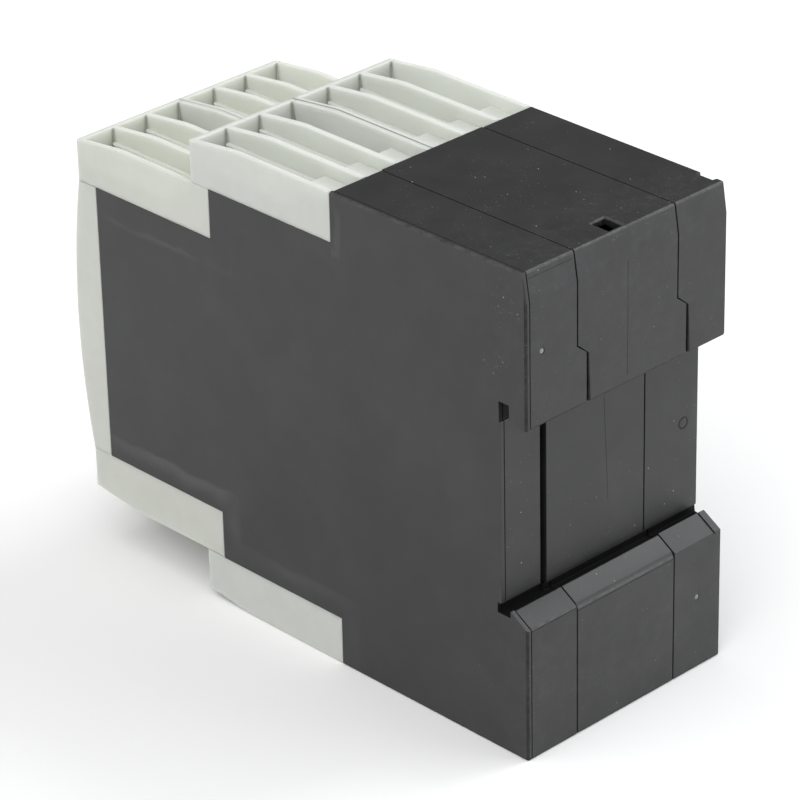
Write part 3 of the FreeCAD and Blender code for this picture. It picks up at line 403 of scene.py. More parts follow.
def grey_moulding(name, skin, block, inner_painted_light, gap_painted_shade, corner_painted_shade):
    """The blocks' plastic: how much painted light pales the troughs' insides, and how much painted shade
    darkens its gap and its corners.
    """
    material, wiring, surface, place = new_finish(name)
    low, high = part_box(block)
    x, y = wiring.along(place, "X"), wiring.along(place, "Y")
    cloud = wiring.noise(place, 70.0, 3.0, 0.5)
    flow = wiring.noise(place, 420.0, 2.0, 0.5)
    fine = wiring.noise(place, 7000.0, 1.0)
    grime = wiring.noise(place, 260.0, 4.0, 0.7).fade(0.62, 0.8)
    tone = (cloud * 0.6 + flow * 0.4).fade(0.3, 0.7)
    colour = tone.tint(scaled(skin, 0.965), scaled(skin, 1.02))
    # Painted light: the troughs' insides get a paler skin than the outer faces.
    inside = (abs(x) < high.x - SIDE_SKIN) * (y > low.y + FRONT_SKIN)
    colour = inside.tint(colour, scaled(skin, inner_painted_light))
    # Painted highlight on the rounded edges that look up.
    painted_edge_light = attribute(wiring, "painted_edge_light")
    colour = (painted_edge_light.most(0.0) * 0.4).tint(colour, scaled(skin, 1.12))
    colour = (grime * 0.14).tint(colour, GRIME)
    # Painted shade in the gap between the left and the right blocks and in one front corner of each trough.
    gap = 1.0 - abs(x).fade(*GAP_BETWEEN_BLOCKS)
    painted_shade = (gap * gap_painted_shade).most(trough_corner(x, y, low.y) * corner_painted_shade)
    colour = painted_shade.tint(colour, PAINTED_GAP_SHADE)
    rough = 0.42 + cloud * 0.08 + fine * 0.05
    lead(surface, base_color=colour, roughness=rough, normal=grain(wiring, fine, 0.08, GRAIN_DEPTH),
         subsurface_weight=0.85, subsurface_radius=(1.0, 1.0, 1.0), subsurface_scale=MILKY_DEPTH)
    return material


REAR_GREY, FRONT_GREY, COVER_GREY = (0.54, 0.556, 0.52), (0.54, 0.553, 0.505), (0.54, 0.553, 0.51)
REAR_BLOCK, FRONT_BLOCK = "upper_rear_terminal_block_right", "upper_front_terminal_block_right"
grey_rear_finish = grey_moulding("grey_rear_finish", REAR_GREY, REAR_BLOCK, 1.2, 0.7, 0.42)
grey_front_finish = grey_moulding("grey_front_finish", FRONT_GREY, FRONT_BLOCK, 1.27, 0.3, 0.42)
grey_cover_finish = grey_moulding("grey_cover_finish", COVER_GREY, "front_cover", 1.0, 0.0, 0.0)
print("grey mouldings", grey_rear_finish.name, grey_front_finish.name, grey_cover_finish.name)

# %% [markdown]
# Screws and clamp cages are zinc plated steel, contact bars tinned brass and capacitor cans drawn
# aluminium. All three are metals whose gloss changes along fine streaks, so one recipe takes a
# colour, a roughness and how far its streaks are stretched.

# %% Plated metals
SCRATCH_DEPTH = 0.03 * MM


def plated_metal(name, skin, rough, stretch):
    material, wiring, surface, place = new_finish(name)
    stretched = wiring.node("ShaderNodeMapping", {}, {"Vector": place, "Scale": stretch})
    streak = wiring.noise(stretched, 900.0, 3.0, 0.6)
    spot = wiring.noise(place, 500.0, 2.0)
    colour = (streak * 0.6 + spot * 0.4).fade(0.3, 0.7).tint(scaled(skin, 0.8), rgb(*skin))
    lead(surface, base_color=colour, roughness=rough + streak * 0.15, metallic=1.0,
         normal=grain(wiring, streak, 0.12, SCRATCH_DEPTH))
    return material


zinc_finish = plated_metal("zinc_finish", (0.72, 0.73, 0.75), 0.26, (1.0, 0.15, 1.0))
tinned_finish = plated_metal("tinned_finish", (0.76, 0.69, 0.47), 0.24, (1.0, 1.0, 0.15))
can_finish = plated_metal("can_finish", (0.75, 0.76, 0.77), 0.3, (0.1, 1.0, 1.0))
print("metals", zinc_finish.name, tinned_finish.name, can_finish.name)

# %% [markdown]
# Inside are circuit boards with green solder mask, a ferrite core, a taped winding, and dark sealed
# housings. They can be glimpsed through the wire entries only, so each gets a simple but not flat
# finish: two colours mixed by a noise, and a gloss that follows it. The controls on the front and
# the three lenses of the indicator lamps, green, red and yellow, use the same recipe.

# %% Inner finishes and control finishes
def mottled(name, dark, light, scale, rough, coat=0.0, clear=0.0):
    material, wiring, surface, place = new_finish(name)
    patch = wiring.noise(place, scale, 3.0, 0.55)
    fine = wiring.noise(place, scale * 25.0, 1.0)
    colour = patch.fade(0.3, 0.7).tint(rgb(*dark), rgb(*light))
    lead(surface, base_color=colour, roughness=rough + patch * 0.1,
         normal=grain(wiring, fine, 0.06, SCRATCH_DEPTH), coat_weight=coat, transmission_weight=clear)
    return material


def lens(name, dark, light):
    return mottled(name, dark, light, 500.0, 0.12, clear=0.4)


board_finish = mottled("board_finish", (0.012, 0.07, 0.03), (0.02, 0.11, 0.05), 300.0, 0.3, coat=0.4)
ferrite_finish = mottled("ferrite_finish", (0.018, 0.018, 0.019), (0.035, 0.035, 0.037), 900.0, 0.62)
tape_finish = mottled("tape_finish", (0.42, 0.25, 0.03), (0.55, 0.36, 0.06), 260.0, 0.32, coat=0.3)
housing_finish = mottled("housing_finish", (0.012, 0.012, 0.013), (0.022, 0.022, 0.024), 400.0, 0.42)
knob_finish = mottled("knob_finish", (0.10, 0.102, 0.105), (0.135, 0.137, 0.14), 500.0, 0.45)
button_finish = mottled("button_finish", (0.028, 0.05, 0.14), (0.036, 0.062, 0.17), 400.0, 0.4)
slider_finish = mottled("slider_finish", (0.7, 0.7, 0.66), (0.78, 0.78, 0.74), 600.0, 0.4)
clear_finish = mottled("clear_finish", (0.75, 0.8, 0.76), (0.86, 0.9, 0.87), 500.0, 0.12, clear=0.6)
ink_finish = mottled("ink_finish", (0.035, 0.036, 0.04), (0.05, 0.051, 0.055), 900.0, 0.5)
LENS_FINISH = {
    "supply_light_guide": lens("green_lens_finish", (0.10, 0.42, 0.16), (0.16, 0.52, 0.22)),
    "fault_light_guide": lens("red_lens_finish", (0.46, 0.06, 0.05), (0.56, 0.09, 0.07)),
    "relay_light_guide": lens("yellow_lens_finish", (0.6, 0.42, 0.06), (0.7, 0.5, 0.09)),
}
print("inner and control finishes ready,", len(LENS_FINISH), "lenses")

# %% [markdown]
# Each node of the construction model gets the finish of its slot. The terminal blocks of the front
# tier and the cover differ slightly in colour from the rear tier, so those are told apart by name.

# %% Give every node a finish
FINISH_OF_SLOT = {
    "black_plastic": black_shell_finish,
    "grey_plastic": grey_rear_finish,
    "zinc_steel": zinc_finish,
    "tinned_brass": tinned_finish,
    "circuit_board": board_finish,
    "ferrite": ferrite_finish,
    "winding_tape": tape_finish,
    "dark_housing": housing_finish,
    "capacitor_can": can_finish,
    "knob_plastic": knob_finish,
    "button_plastic": button_finish,
    "slider_plastic": slider_finish,
    "clear_plastic": clear_finish,
}


def finish_for(node):
    if node == "centre_housing":
        return black_centre_finish
    if node == "front_cover":
        return grey_cover_finish
    if "front_terminal_block" in node:
        return grey_front_finish
    return LENS_FINISH.get(node) or FINISH_OF_SLOT[slot_of_node[node]]


for node, thing in nodes.items():
    thing.data.materials.clear()
    thing.data.materials.append(finish_for(node))
print("finishes on", len(nodes), "nodes")

# %% [markdown]
# A mould can't make a knife edge. Every outer edge has a small radius that catches a line of light,
# and that line is what makes a plastic part look real. The construction solids have sharp edges, so
# a piece is made from a copy of each visible one: its triangles are merged back into flat faces
# and its sharp edges are bevelled. One radius doesn't suit all: a narrow groove has no room for a
# large one, and against another piece the joint would gape. So the edges are graded first, by two
# measures: the room beside an edge, and whether another piece lies along it.

# %% Measure the edges
SAME_POINT = 0.002 * MM
FLAT_ANGLE = math.radians(0.6)
SHARP_ANGLE = math.radians(28.0)
TOUCH = 0.25 * MM
ALONG_EDGE = (0.15, 0.5, 0.85)
IN_LINE = 0.85


def search_tree(names):
    """A search tree over the faces of some nodes."""
    points, faces = [], []
    for name in names:
        first = len(points)
        points.extend(v.co.copy() for v in nodes[name].data.vertices)
        faces.extend([first + i for i in f.vertices] for f in nodes[name].data.polygons)
    return BVHTree.FromPolygons(points, faces)


def is_sharp(edge):
    return len(edge.link_faces) == 2 and edge.calc_face_angle(0.0) > SHARP_ANGLE


def run_of(edge):
    return (edge.verts[1].co - edge.verts[0].co).normalized()


def face_width(face):
    """How wide a long strip of a face is; a compact face comes out at half its side."""
    return 2.0 * face.calc_area() / face.calc_perimeter()


def room_at(edge):
    """The least of its faces' widths and the edges that run off from its ends.

    Where nothing runs on in line with the edge, its own length counts too.
    """
    line = run_of(edge)
    shortest, runs_on = min(face_width(face) for face in edge.link_faces), False
    for vert in edge.verts:
        for side in vert.link_edges:
            if side is edge or not set(side.link_faces) & set(edge.link_faces):
                continue
            across = side.other_vert(vert).co - vert.co
            if abs(across.normalized().dot(line)) < IN_LINE:
                shortest = min(shortest, across.length)
            else:
                runs_on = True
    return shortest if runs_on else min(shortest, edge.calc_length())


def points_touching(edge, others):
    """At how many of the points looked at along an edge another piece is near."""
    start, end = (v.co for v in edge.verts)
    nearest = [others.find_nearest(start.lerp(end, t), TOUCH)[0] for t in ALONG_EDGE]
    return sum(point is not None for point in nearest)


print("another piece within", TOUCH / MM, "mm of an edge counts as touching it")

# %% [markdown]
# The grade says which radius an edge gets, 0 being the largest. On the case, an edge in a joint gets
# a smaller radius. On the blocks and controls, whose joints are finer, most of an edge has to touch
# another piece, and then it stays crisp. There, edges that run on in line, as round an arc, share
# the smallest radius among them, because a change of radius half way would leave a dent.

# %% Grade the edges
ROOM_SHARE = 2.05


def grade_of(edge, others, radii, crisp_joints):
    """Which of the radii suits an edge: 0 for a free outer edge, higher where there is less room."""
    in_joint = points_touching(edge, others) >= (2 if crisp_joints else 1)
    if in_joint and crisp_joints:
        return len(radii)
    room = room_at(edge)
    for grade, radius in enumerate(radii):
        if room > ROOM_SHARE * radius and (grade > 0 or (edge.is_convex and not in_joint)):
            return grade
    return len(radii)


def even_out(edges, grades):
    """Gives edges that run on in line the smallest radius among them."""
    queue = [edge for edge in edges if edge[grades] > 1]
    while queue:
        edge = queue.pop()
        line = run_of(edge)
        for side in [side for vert in edge.verts for side in vert.link_edges]:
            if 0 < side[grades] < edge[grades] and abs(run_of(side).dot(line)) > IN_LINE:
                side[grades] = edge[grades]
                queue.append(side)


print("an edge needs", ROOM_SHARE, "times its radius as room")

# %% [markdown]
# Each grade is bevelled in its own pass, the largest radius first. The rounded strips keep a mark for
# the finish: strips that look up get a painted highlight, upright ones painted shade. A fold between
# two broad faces, as on the bulged cover, is marked sharp so that its shading doesn't smear over them.

# %% Soften a node
UPWARD = 0.25
EDGE_LIGHT_OF_GRADE = (1.0, 0.35, 0.0)
SEGMENTS_OF_GRADE = (3, 2, 2)
BROAD = 2.0 * MM
NO_LENGTH = 0.0001 * MM
CRISP_ANGLE = math.radians(50.0)


def soften(node, radii, crisp_joints=True):
    """A mesh made from a node, with its sharp edges rounded."""
    others = search_tree(other for other in nodes if other != node)
    bm = bmesh.new()
    bm.from_mesh(nodes[node].data)
    painted_edge_light = bm.loops.layers.float.new("painted_edge_light")
    grades = bm.edges.layers.int.new("grade")
    bmesh.ops.remove_doubles(bm, verts=bm.verts, dist=SAME_POINT)
    bmesh.ops.dissolve_limit(bm, angle_limit=FLAT_ANGLE, verts=bm.verts, edges=bm.edges, delimit={"NORMAL"})
    for edge in bm.edges:
        edge[grades] = 1 + grade_of(edge, others, radii, crisp_joints) if is_sharp(edge) else 0
    if crisp_joints:
        even_out([edge for edge in bm.edges if edge[grades] <= len(radii)], grades)
    for grade, radius in enumerate(radii):
        sharp = [edge for edge in bm.edges if edge[grades] == grade + 1 and is_sharp(edge)]
        result = bmesh.ops.bevel(bm, geom=sharp, offset=radius, offset_type="OFFSET", affect="EDGES",
                                 segments=SEGMENTS_OF_GRADE[grade], profile=0.5, material=-1)
        # Strips that look up get a painted highlight, the others painted shade.
        for face in result["faces"]:
            mark = EDGE_LIGHT_OF_GRADE[grade] if face.normal.z > UPWARD else -EDGE_LIGHT_OF_GRADE[grade]
            for loop in face.loops:
                loop[painted_edge_light] = mark
    bmesh.ops.dissolve_degenerate(bm, edges=bm.edges, dist=NO_LENGTH)
    for edge in bm.edges:
        turn, width = edge.calc_face_angle(0.0), min(face_width(face) for face in edge.link_faces)
        edge.smooth = turn < CRISP_ANGLE and (turn < FLAT_ANGLE / 2 or width < BROAD)
    return bm


print("wear on rounded strips, by grade", EDGE_LIGHT_OF_GRADE)

# %% [markdown]
# A finished mesh becomes a piece that stands for its node and rides on the same body. A weighted
# normal modifier keeps the flat faces flat in the shading. Two counts tell whether the bevels went
# well: faces whose triangles cover more than the face does, and edges without two faces.

# %% Keep a piece
CROSSED = 0.1 * MM * MM


def count_crossed(bm):
    filled = {}
    for corners in bm.calc_loop_triangles():
        a, b, c = (loop.vert.co for loop in corners)
        filled[corners[0].face] = filled.get(corners[0].face, 0.0) + (b - a).cross(c - a).length / 2
    return sum(area > face.calc_area() + CROSSED for face, area in filled.items())


def keep(bm, node, name):
    """Turns a finished bmesh into the piece that stands for a node."""
    crossed = count_crossed(bm)
    gaps = sum(len(edge.link_faces) != 2 for edge in bm.edges)
    for face in bm.faces:
        face.smooth = True
    mesh = bpy.data.meshes.new(name)
    bm.to_mesh(mesh)
    bm.free()
    mesh.materials.append(finish_for(node))
    piece = bpy.data.objects.new(name, mesh)
    bpy.context.scene.collection.objects.link(piece)
    even = piece.modifiers.new("even_shading", "WEIGHTED_NORMAL")
    even.weight = 100
    even.keep_sharp = True
    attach(piece, body_of_node[node])
    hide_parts(node)
    print(name, len(mesh.polygons), "faces,", crossed, "crossed,", gaps, "open edges")


print("a face is crossed from", round(CROSSED / MM / MM, 2), "square mm")

# %% [markdown]
# Small marks of the moulding tool are on the rear: two gate pips where the plastic entered, the ring
# of an ejector pin, a vent and a few fine lines where the tool's inserts meet. A mark is pressed
# into the flat face that holds it: a plane through each side of its outline cuts a small patch out
# of that face, and insets with a depth then make a dish, a ring or a groove.

# %% Press a mark into a face
MARK_SIDES = 14
OUTSIDE = 10.0 * MM
IN_PLANE = 0.02 * MM
SAME_WAY = 0.98
# Rim marks: painted shade, and a painted highlight on a gate's stub.
SHADED_RIM, STUB = -1.0, 3.0
GROOVE_WIDTH = 0.11 * MM
GROOVE = ((0.04 * MM, -0.07 * MM, SHADED_RIM),)


def rear_point(node, x, z):
    """The point of a node's rear at a place in mm, and which way its surface looks there."""
    start = Vector((x * MM, CAD_BOX[1].y + OUTSIDE, z * MM))
    point, facing, *_ = search_tree([node]).ray_cast(start, Vector((0.0, -1.0, 0.0)))
    return point, facing


def face_at(bm, place, facing):
    """The flat face that holds a place and looks in a direction."""
    for face in bm.faces:
        flat = abs((place - face.verts[0].co).dot(face.normal)) < IN_PLANE
        if flat and face.normal.dot(facing) > SAME_WAY and bmesh.geometry.intersect_face_point(face, place):
            return face
    raise ValueError(f"no face at {place}")


def press_patch(bm, outline, facing, insets, inner_edge_light):
    """Cuts a patch into a face; each inset is (width, depth, painted light of its rim), inwards if the
    depth is negative.
    """
    painted_edge_light = bm.loops.layers.float["painted_edge_light"]
    place = sum(outline, Vector()) / len(outline)
    face = face_at(bm, place, facing)
    for corner, after in zip(outline, outline[1:] + outline[:1]):
        geom = [face, *face.edges, *face.verts]
        out = (after - corner).cross(facing).normalized()
        bmesh.ops.bisect_plane(bm, geom=geom, dist=NO_LENGTH, plane_co=corner, plane_no=out)
        face = face_at(bm, place, facing)
    for width, depth, mark in insets:
        made = bmesh.ops.inset_region(bm, faces=[face], thickness=width, depth=depth, use_even_offset=True)
        for loop in (loop for side in made["faces"] for loop in side.loops):
            loop[painted_edge_light] = mark
    for loop in face.loops:
        loop[painted_edge_light] = inner_edge_light


def round_mark(bm, node, x, z, radius, insets, inner_edge_light=0.0):
    place, facing = rear_point(node, x, z)
    arm = facing.orthogonal().normalized() * radius
    turns = [Matrix.Rotation(2 * math.pi * step / MARK_SIDES, 3, facing) for step in range(MARK_SIDES)]
    press_patch(bm, [place + turn @ arm for turn in turns], facing, insets, inner_edge_light)


def groove(bm, node, start, end):
    first, facing = rear_point(node, *start)
    last, _ = rear_point(node, *end)
    aside = facing.cross(last - first).normalized() * (GROOVE_WIDTH / 2)
    press_patch(bm, [first - aside, last - aside, last + aside, first + aside], facing, GROOVE, SHADED_RIM)


print("marks have", MARK_SIDES, "sides")

# %% [markdown]
# The three case mouldings have the largest radius, 0.38 mm on free edges. Edges against another
# piece get 0.08 mm, so the seams stay thin dark lines with a thread of light beside them. The marks
# are listed by their insets: how wide each is, how deep it goes and what painted shade or highlight
# its rim gets.

# %% The case
CASE_RADII = (0.38 * MM, 0.08 * MM, 0.03 * MM)
PIP_RADIUS, RING_RADIUS, VENT_RADIUS = 0.6 * MM, 1.15 * MM, 0.7 * MM
PIP = ((0.08 * MM, -0.10 * MM, SHADED_RIM), (0.08 * MM, 0.0, SHADED_RIM), (0.10 * MM, 0.09 * MM, STUB))
RING = ((0.08 * MM, -0.14 * MM, SHADED_RIM), (0.14 * MM, 0.0, SHADED_RIM), (0.08 * MM, 0.14 * MM, SHADED_RIM))
VENT = ((0.10 * MM, -0.03 * MM, 0.0), (0.10 * MM, 0.03 * MM, 0.0))
shell = soften("right_side_shell", CASE_RADII, crisp_joints=False)
round_mark(shell, "right_side_shell", 19.0, 28.1, PIP_RADIUS, PIP, STUB)
groove(shell, "right_side_shell", (21.2, 40.8), (11.9, 40.8))
keep(shell, "right_side_shell", "right_side_shell_moulding")
shell = soften("left_side_shell", CASE_RADII, crisp_joints=False)
round_mark(shell, "left_side_shell", -16.8, -30.2, PIP_RADIUS, PIP, STUB)
round_mark(shell, "left_side_shell", -19.1, -1.1, RING_RADIUS, RING)
round_mark(shell, "left_side_shell", -14.2, -18.6, VENT_RADIUS, VENT, 1.0)
keep(shell, "left_side_shell", "left_side_shell_moulding")
housing = soften("centre_housing", CASE_RADII, crisp_joints=False)
groove(housing, "centre_housing", (0.1, 17.0), (0.1, 36.6))
groove(housing, "centre_housing", (-0.6, 10.7), (-1.6, -8.0))
keep(housing, "centre_housing", "centre_housing_moulding")

# %% [markdown]
# The terminal blocks and the front cover have thinner walls, so their radii are smaller. Their edges
# against other pieces stay crisp, and edges in line share one radius, so an arc has no dents.

# %% Terminal blocks and front cover
BLOCK_RADII = (0.2 * MM, 0.12 * MM, 0.05 * MM)
for node in sorted(nodes):
    if "terminal_block" in node or node == "front_cover":
        keep(soften(node, BLOCK_RADII), node, f"{node}_moulding")

# %% [markdown]
# The controls on the front are small: setting knobs with an arrow, a button, a dip switch with its
# sliders and three lenses. They are rounded in the same way with radii to their size.

# %% Controls
CONTROL_RADII = (0.16 * MM, 0.08 * MM, 0.03 * MM)
CONTROL_SLOTS = ("knob_plastic", "button_plastic", "slider_plastic", "clear_plastic")
for node in sorted(nodes):
    if (slot_of_node[node] in CONTROL_SLOTS and node != "indicator_lamps") or node == "dip_switch_body":
        keep(soften(node, CONTROL_RADII), node, f"{node}_rounded")

# %% [markdown]
# A terminal screw has a round head with a cross recess and a threaded shank. The head starts as a
# disc that is extruded and bevelled. Its top is inset, four planes cut that inner face to a cross, and
# the cross is pushed in with a taper.

# %% A screw's head
HEAD_RADIUS, HEAD_HEIGHT = 1.82 * MM, 1.8 * MM
HEAD_SIDES, HEAD_ROUND, HEAD_RIM = 32, 0.3 * MM, 0.35 * MM
RECESS_RADIUS, TOP_LAYER = HEAD_RADIUS - 0.7 * MM, HEAD_HEIGHT - 0.01 * MM
CROSS_HALF, CROSS_DEPTH, CROSS_TAPER = 0.24 * MM, 1.0 * MM, 0.6


def verts_in(geom):
    return [part for part in geom if isinstance(part, bmesh.types.BMVert)]


def recess_faces(bm):
    """The faces of the head's top that lie inside its rim, each with its middle."""
    middles = [(face, face.calc_center_median()) for face in bm.faces]
    return [(face, at) for face, at in middles if at.xy.length < RECESS_RADIUS and at.z > TOP_LAYER]


def screw_head(bm):
    disc = bmesh.ops.create_circle(bm, cap_ends=True, segments=HEAD_SIDES, radius=HEAD_RADIUS)
    made = bmesh.ops.extrude_face_region(bm, geom=[disc["verts"][0].link_faces[0]])["geom"]
    bmesh.ops.translate(bm, verts=verts_in(made), vec=(0.0, 0.0, HEAD_HEIGHT))
    top = next(part for part in made if isinstance(part, bmesh.types.BMFace))
    bmesh.ops.recalc_face_normals(bm, faces=bm.faces)
    bmesh.ops.bevel(bm, geom=list(top.edges), offset=HEAD_ROUND, offset_type="OFFSET", affect="EDGES",
                    segments=3, profile=0.5, material=-1)
    top = max(bm.faces, key=lambda face: face.calc_center_median().z)
    bmesh.ops.inset_region(bm, faces=[top], thickness=HEAD_RIM, depth=0.0)
    for axis in (Vector((1.0, 0.0, 0.0)), Vector((0.0, 1.0, 0.0))):
        for side in (axis * -CROSS_HALF, axis * CROSS_HALF):
            inner = [face for face, _ in recess_faces(bm)]
            parts = inner + [part for face in inner for part in (*face.edges, *face.verts)]
            geom = list(dict.fromkeys(parts))
            bmesh.ops.bisect_plane(bm, geom=geom, dist=NO_LENGTH, plane_co=side, plane_no=axis)
    cross = [face for face, at in recess_faces(bm) if min(abs(at.x), abs(at.y)) < CROSS_HALF]
    bottom = verts_in(bmesh.ops.extrude_face_region(bm, geom=cross)["geom"])
    bmesh.ops.delete(bm, geom=cross, context="FACES")
    bmesh.ops.scale(bm, verts=bottom, vec=(CROSS_TAPER, CROSS_TAPER, 1.0))
    bmesh.ops.translate(bm, verts=bottom, vec=(0.0, 0.0, -CROSS_DEPTH))


print("a screw head is", round(2 * HEAD_RADIUS / MM, 2), "mm wide")

# %% [markdown]
# The shank is a saw-tooth line spun round the axis. Rings instead of a true helix are enough for a
# thread that is seen through a small hole, and they close without a seam.

# %% A screw's shank
SHANK_RADIUS, SHANK_LENGTH = 1.42 * MM, 3.4 * MM
THREAD_PITCH, THREAD_DEPTH = 0.5 * MM, 0.22 * MM
SHANK_SIDES = 20


def screw_shank(bm):
    root = SHANK_RADIUS - THREAD_DEPTH
    line = [(0.0, 0.0), (SHANK_RADIUS, 0.0)]
    for tooth in range(int(SHANK_LENGTH / THREAD_PITCH)):
        z = -(tooth + 0.5) * THREAD_PITCH
        line += [(root, z), (SHANK_RADIUS, z - THREAD_PITCH / 2)]
    line += [(root, -SHANK_LENGTH), (0.0, -SHANK_LENGTH)]
    verts = [bm.verts.new((radius, 0.0, z)) for radius, z in line]
    edges = [bm.edges.new(pair) for pair in zip(verts, verts[1:])]
    bmesh.ops.spin(bm, geom=verts + edges, cent=(0.0, 0.0, 0.0), axis=(0.0, 0.0, 1.0), angle=2 * math.pi,
                   steps=SHANK_SIDES, use_merge=True)


screw = bmesh.new()
screw_head(screw)
screw_shank(screw)
bmesh.ops.remove_doubles(screw, verts=screw.verts, dist=SAME_POINT)
bmesh.ops.recalc_face_normals(screw, faces=screw.faces)
for face in screw.faces:
    face.smooth = True
screw_mesh = bpy.data.meshes.new("one_terminal_screw")
screw.to_mesh(screw_mesh)
screw.free()
print("a screw has", len(screw_mesh.polygons), "faces")

# %% [markdown]
# The screws of one tier are one node in the construction model, so they are one piece here too. Its
# loose solids say where the screws are, and they are found by walking along the edges from vertex to
# vertex. Each screw gets its own turn, because nobody tightens them all to the same angle.

# %% Place the screws
def loose_boxes(node):
    """The lowest and highest corner of each loose part of a node."""
    bm = bmesh.new()
    bm.from_mesh(nodes[node].data)
    bmesh.ops.remove_doubles(bm, verts=bm.verts, dist=SAME_POINT)
    unseen, boxes = set(bm.verts), []
    while unseen:
        part = [unseen.pop()]
        for vert in part:
            fresh = {edge.other_vert(vert) for edge in vert.link_edges} & unseen
            unseen -= fresh
            part.extend(fresh)
        axes = list(zip(*(vert.co for vert in part)))
        boxes.append((Vector(map(min, axes)), Vector(map(max, axes))))
    bm.free()
    return sorted(boxes, key=lambda box: tuple(box[0]))


SCREW_TURN = math.radians(37.0)
TO_FRONT = Matrix.Rotation(math.pi / 2, 4, "X")
for tier in TIERS:
    node = f"{tier}_terminal_screws"
    bm = bmesh.new()
    for number, (low, high) in enumerate(loose_boxes(node)):
        count = len(bm.verts)
        bm.from_mesh(screw_mesh)
        bm.verts.ensure_lookup_table()
        centre = (low + high) / 2
        under_head = Matrix.Translation((centre.x, low.y + HEAD_HEIGHT, centre.z))
        turned = TO_FRONT @ Matrix.Rotation(number * SCREW_TURN, 4, "Z")
        bmesh.ops.transform(bm, matrix=under_head @ turned, verts=bm.verts[count:])
    keep(bm, node, f"{tier}_cross_screws")
bpy.data.meshes.remove(screw_mesh)

# %% [markdown]
# Each setting knob points at one of ten numbers printed on the cover, and the sliders are numbered
# from 1 to 4. A number is a text object made into a thin mesh. The cover bulges a little, so its own
# surface says how deep a number sits and how it leans.

# %% Print on the cover
INK = 0.004 * MM
TICK_LENGTH, TICK_WIDTH, DIGIT_HEIGHT = 0.45 * MM, 0.14 * MM, 1.25 * MM
cover_tree = search_tree(["front_cover"])


def on_cover(x, z):
    """Moves a flat shape that looks to the front onto the cover's face, and leans it as the face does."""
    start = Vector((x, CAD_BOX[0].y - OUTSIDE, z))
    point, facing, *_ = cover_tree.ray_cast(start, Vector((0.0, 1.0, 0.0)))
    lean = Vector((0.0, -1.0, 0.0)).rotation_difference(facing).to_matrix().to_4x4()
    return Matrix.Translation(point) @ lean


def print_digit(bm, number, x, z):
    curve = bpy.data.curves.new("digit", "FONT")
    curve.body = str(number)
    curve.size = DIGIT_HEIGHT
    curve.extrude = INK
    curve.align_x, curve.align_y = "CENTER", "CENTER"
    holder = bpy.data.objects.new("digit", curve)
    mesh = bpy.data.meshes.new_from_object(holder)
    mesh.transform(on_cover(x, z) @ TO_FRONT)
    bm.from_mesh(mesh)
    bpy.data.objects.remove(holder)
    bpy.data.curves.remove(curve)
    bpy.data.meshes.remove(mesh)


def print_tick(bm, x, z, angle):
    turn = Matrix.Rotation(angle, 4, "Y")
    size = Matrix.Diagonal((TICK_WIDTH, 2 * INK, TICK_LENGTH, 1.0))
    bmesh.ops.create_cube(bm, size=1.0, matrix=on_cover(x, z) @ turn @ size)


print("ink stands", INK / MM, "mm proud")

# %% [markdown]
# The ticks and numbers stand in a ring round each knob, a tenth of a turn apart. All print is one
# piece that rides with the cover.

# %% Numbers on the cover
TICK_RADIUS, DIGIT_RADIUS = 4.35 * MM, 5.2 * MM
POSITIONS = 10
ABOVE_SLIDERS = 1.3 * MM
SAME_INK_POINT = 0.0005 * MM
bm = bmesh.new()
knobs = [node for node in sorted(nodes) if slot_of_node[node] == "knob_plastic"]
for node in knobs:
    low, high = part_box(node)
    middle = (low + high) / 2
    for number in range(POSITIONS):
        angle = 2 * math.pi * number / POSITIONS
        out = Vector((math.sin(angle), 0.0, math.cos(angle)))
        tick, digit = middle + out * TICK_RADIUS, middle + out * DIGIT_RADIUS
        print_tick(bm, tick.x, tick.z, angle)
        print_digit(bm, number, digit.x, digit.z)
number_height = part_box("dip_switch_body")[1].z + ABOVE_SLIDERS
for number in range(1, 5):
    low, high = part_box(f"dip_slider_{number}")
    print_digit(bm, number, (low.x + high.x) / 2, number_height)
bmesh.ops.remove_doubles(bm, verts=bm.verts, dist=SAME_INK_POINT)
print_mesh = bpy.data.meshes.new("dial_numbers")
bm.to_mesh(print_mesh)
bm.free()
print_mesh.materials.append(ink_finish)
dial_numbers = bpy.data.objects.new("dial_numbers", print_mesh)
bpy.context.scene.collection.objects.link(dial_numbers)
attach(dial_numbers, body_of_node["front_cover"])
print("numbers round", len(knobs), "knobs,", len(print_mesh.polygons), "faces")

# %% [markdown]
# The relay stands on a white sweep, a sheet so large that its edge is never seen. Two whites a little
# apart, mixed by a slow noise, keep it from being one flat colour.

# %% Floor
FLOOR_SIZE = 8.0
floor_z = CAD_BOX[0].z
bm = bmesh.new()
bmesh.ops.create_grid(bm, x_segments=1, y_segments=1, size=FLOOR_SIZE / 2)
bmesh.ops.translate(bm, verts=bm.verts, vec=(0.0, 0.0, floor_z))
floor_mesh = bpy.data.meshes.new("floor")
bm.to_mesh(floor_mesh)
bm.free()
floor = bpy.data.objects.new("floor", floor_mesh)
bpy.context.scene.collection.objects.link(floor)
white_sweep, wiring, surface, place = new_finish("white_sweep")
paper = wiring.noise(place, 3.0, 2.0).fade(0.2, 0.8).tint(rgb(0.96, 0.96, 0.96), rgb(0.98, 0.98, 0.98))
lead(surface, base_color=paper, roughness=0.9, specular_ior_level=0.1)
floor_mesh.materials.append(white_sweep)
print("floor at", round(floor_z / MM, 1), "mm")

# %% [markdown]
# A wide round soft panel overhead and a square one on the camera's side do most of the lighting.
# Black plastic shows what it mirrors, so the rest is placed by that: the sloped top of the lower hook
# mirrors the air high on the far rail side and the rear face mirrors the air low on that side, so a
# panel stands in each place.

# %% Light panels
WHITE, COOL, COOLER = (1.0, 1.0, 1.0), (0.96, 0.98, 1.0), (0.95, 0.975, 1.0)


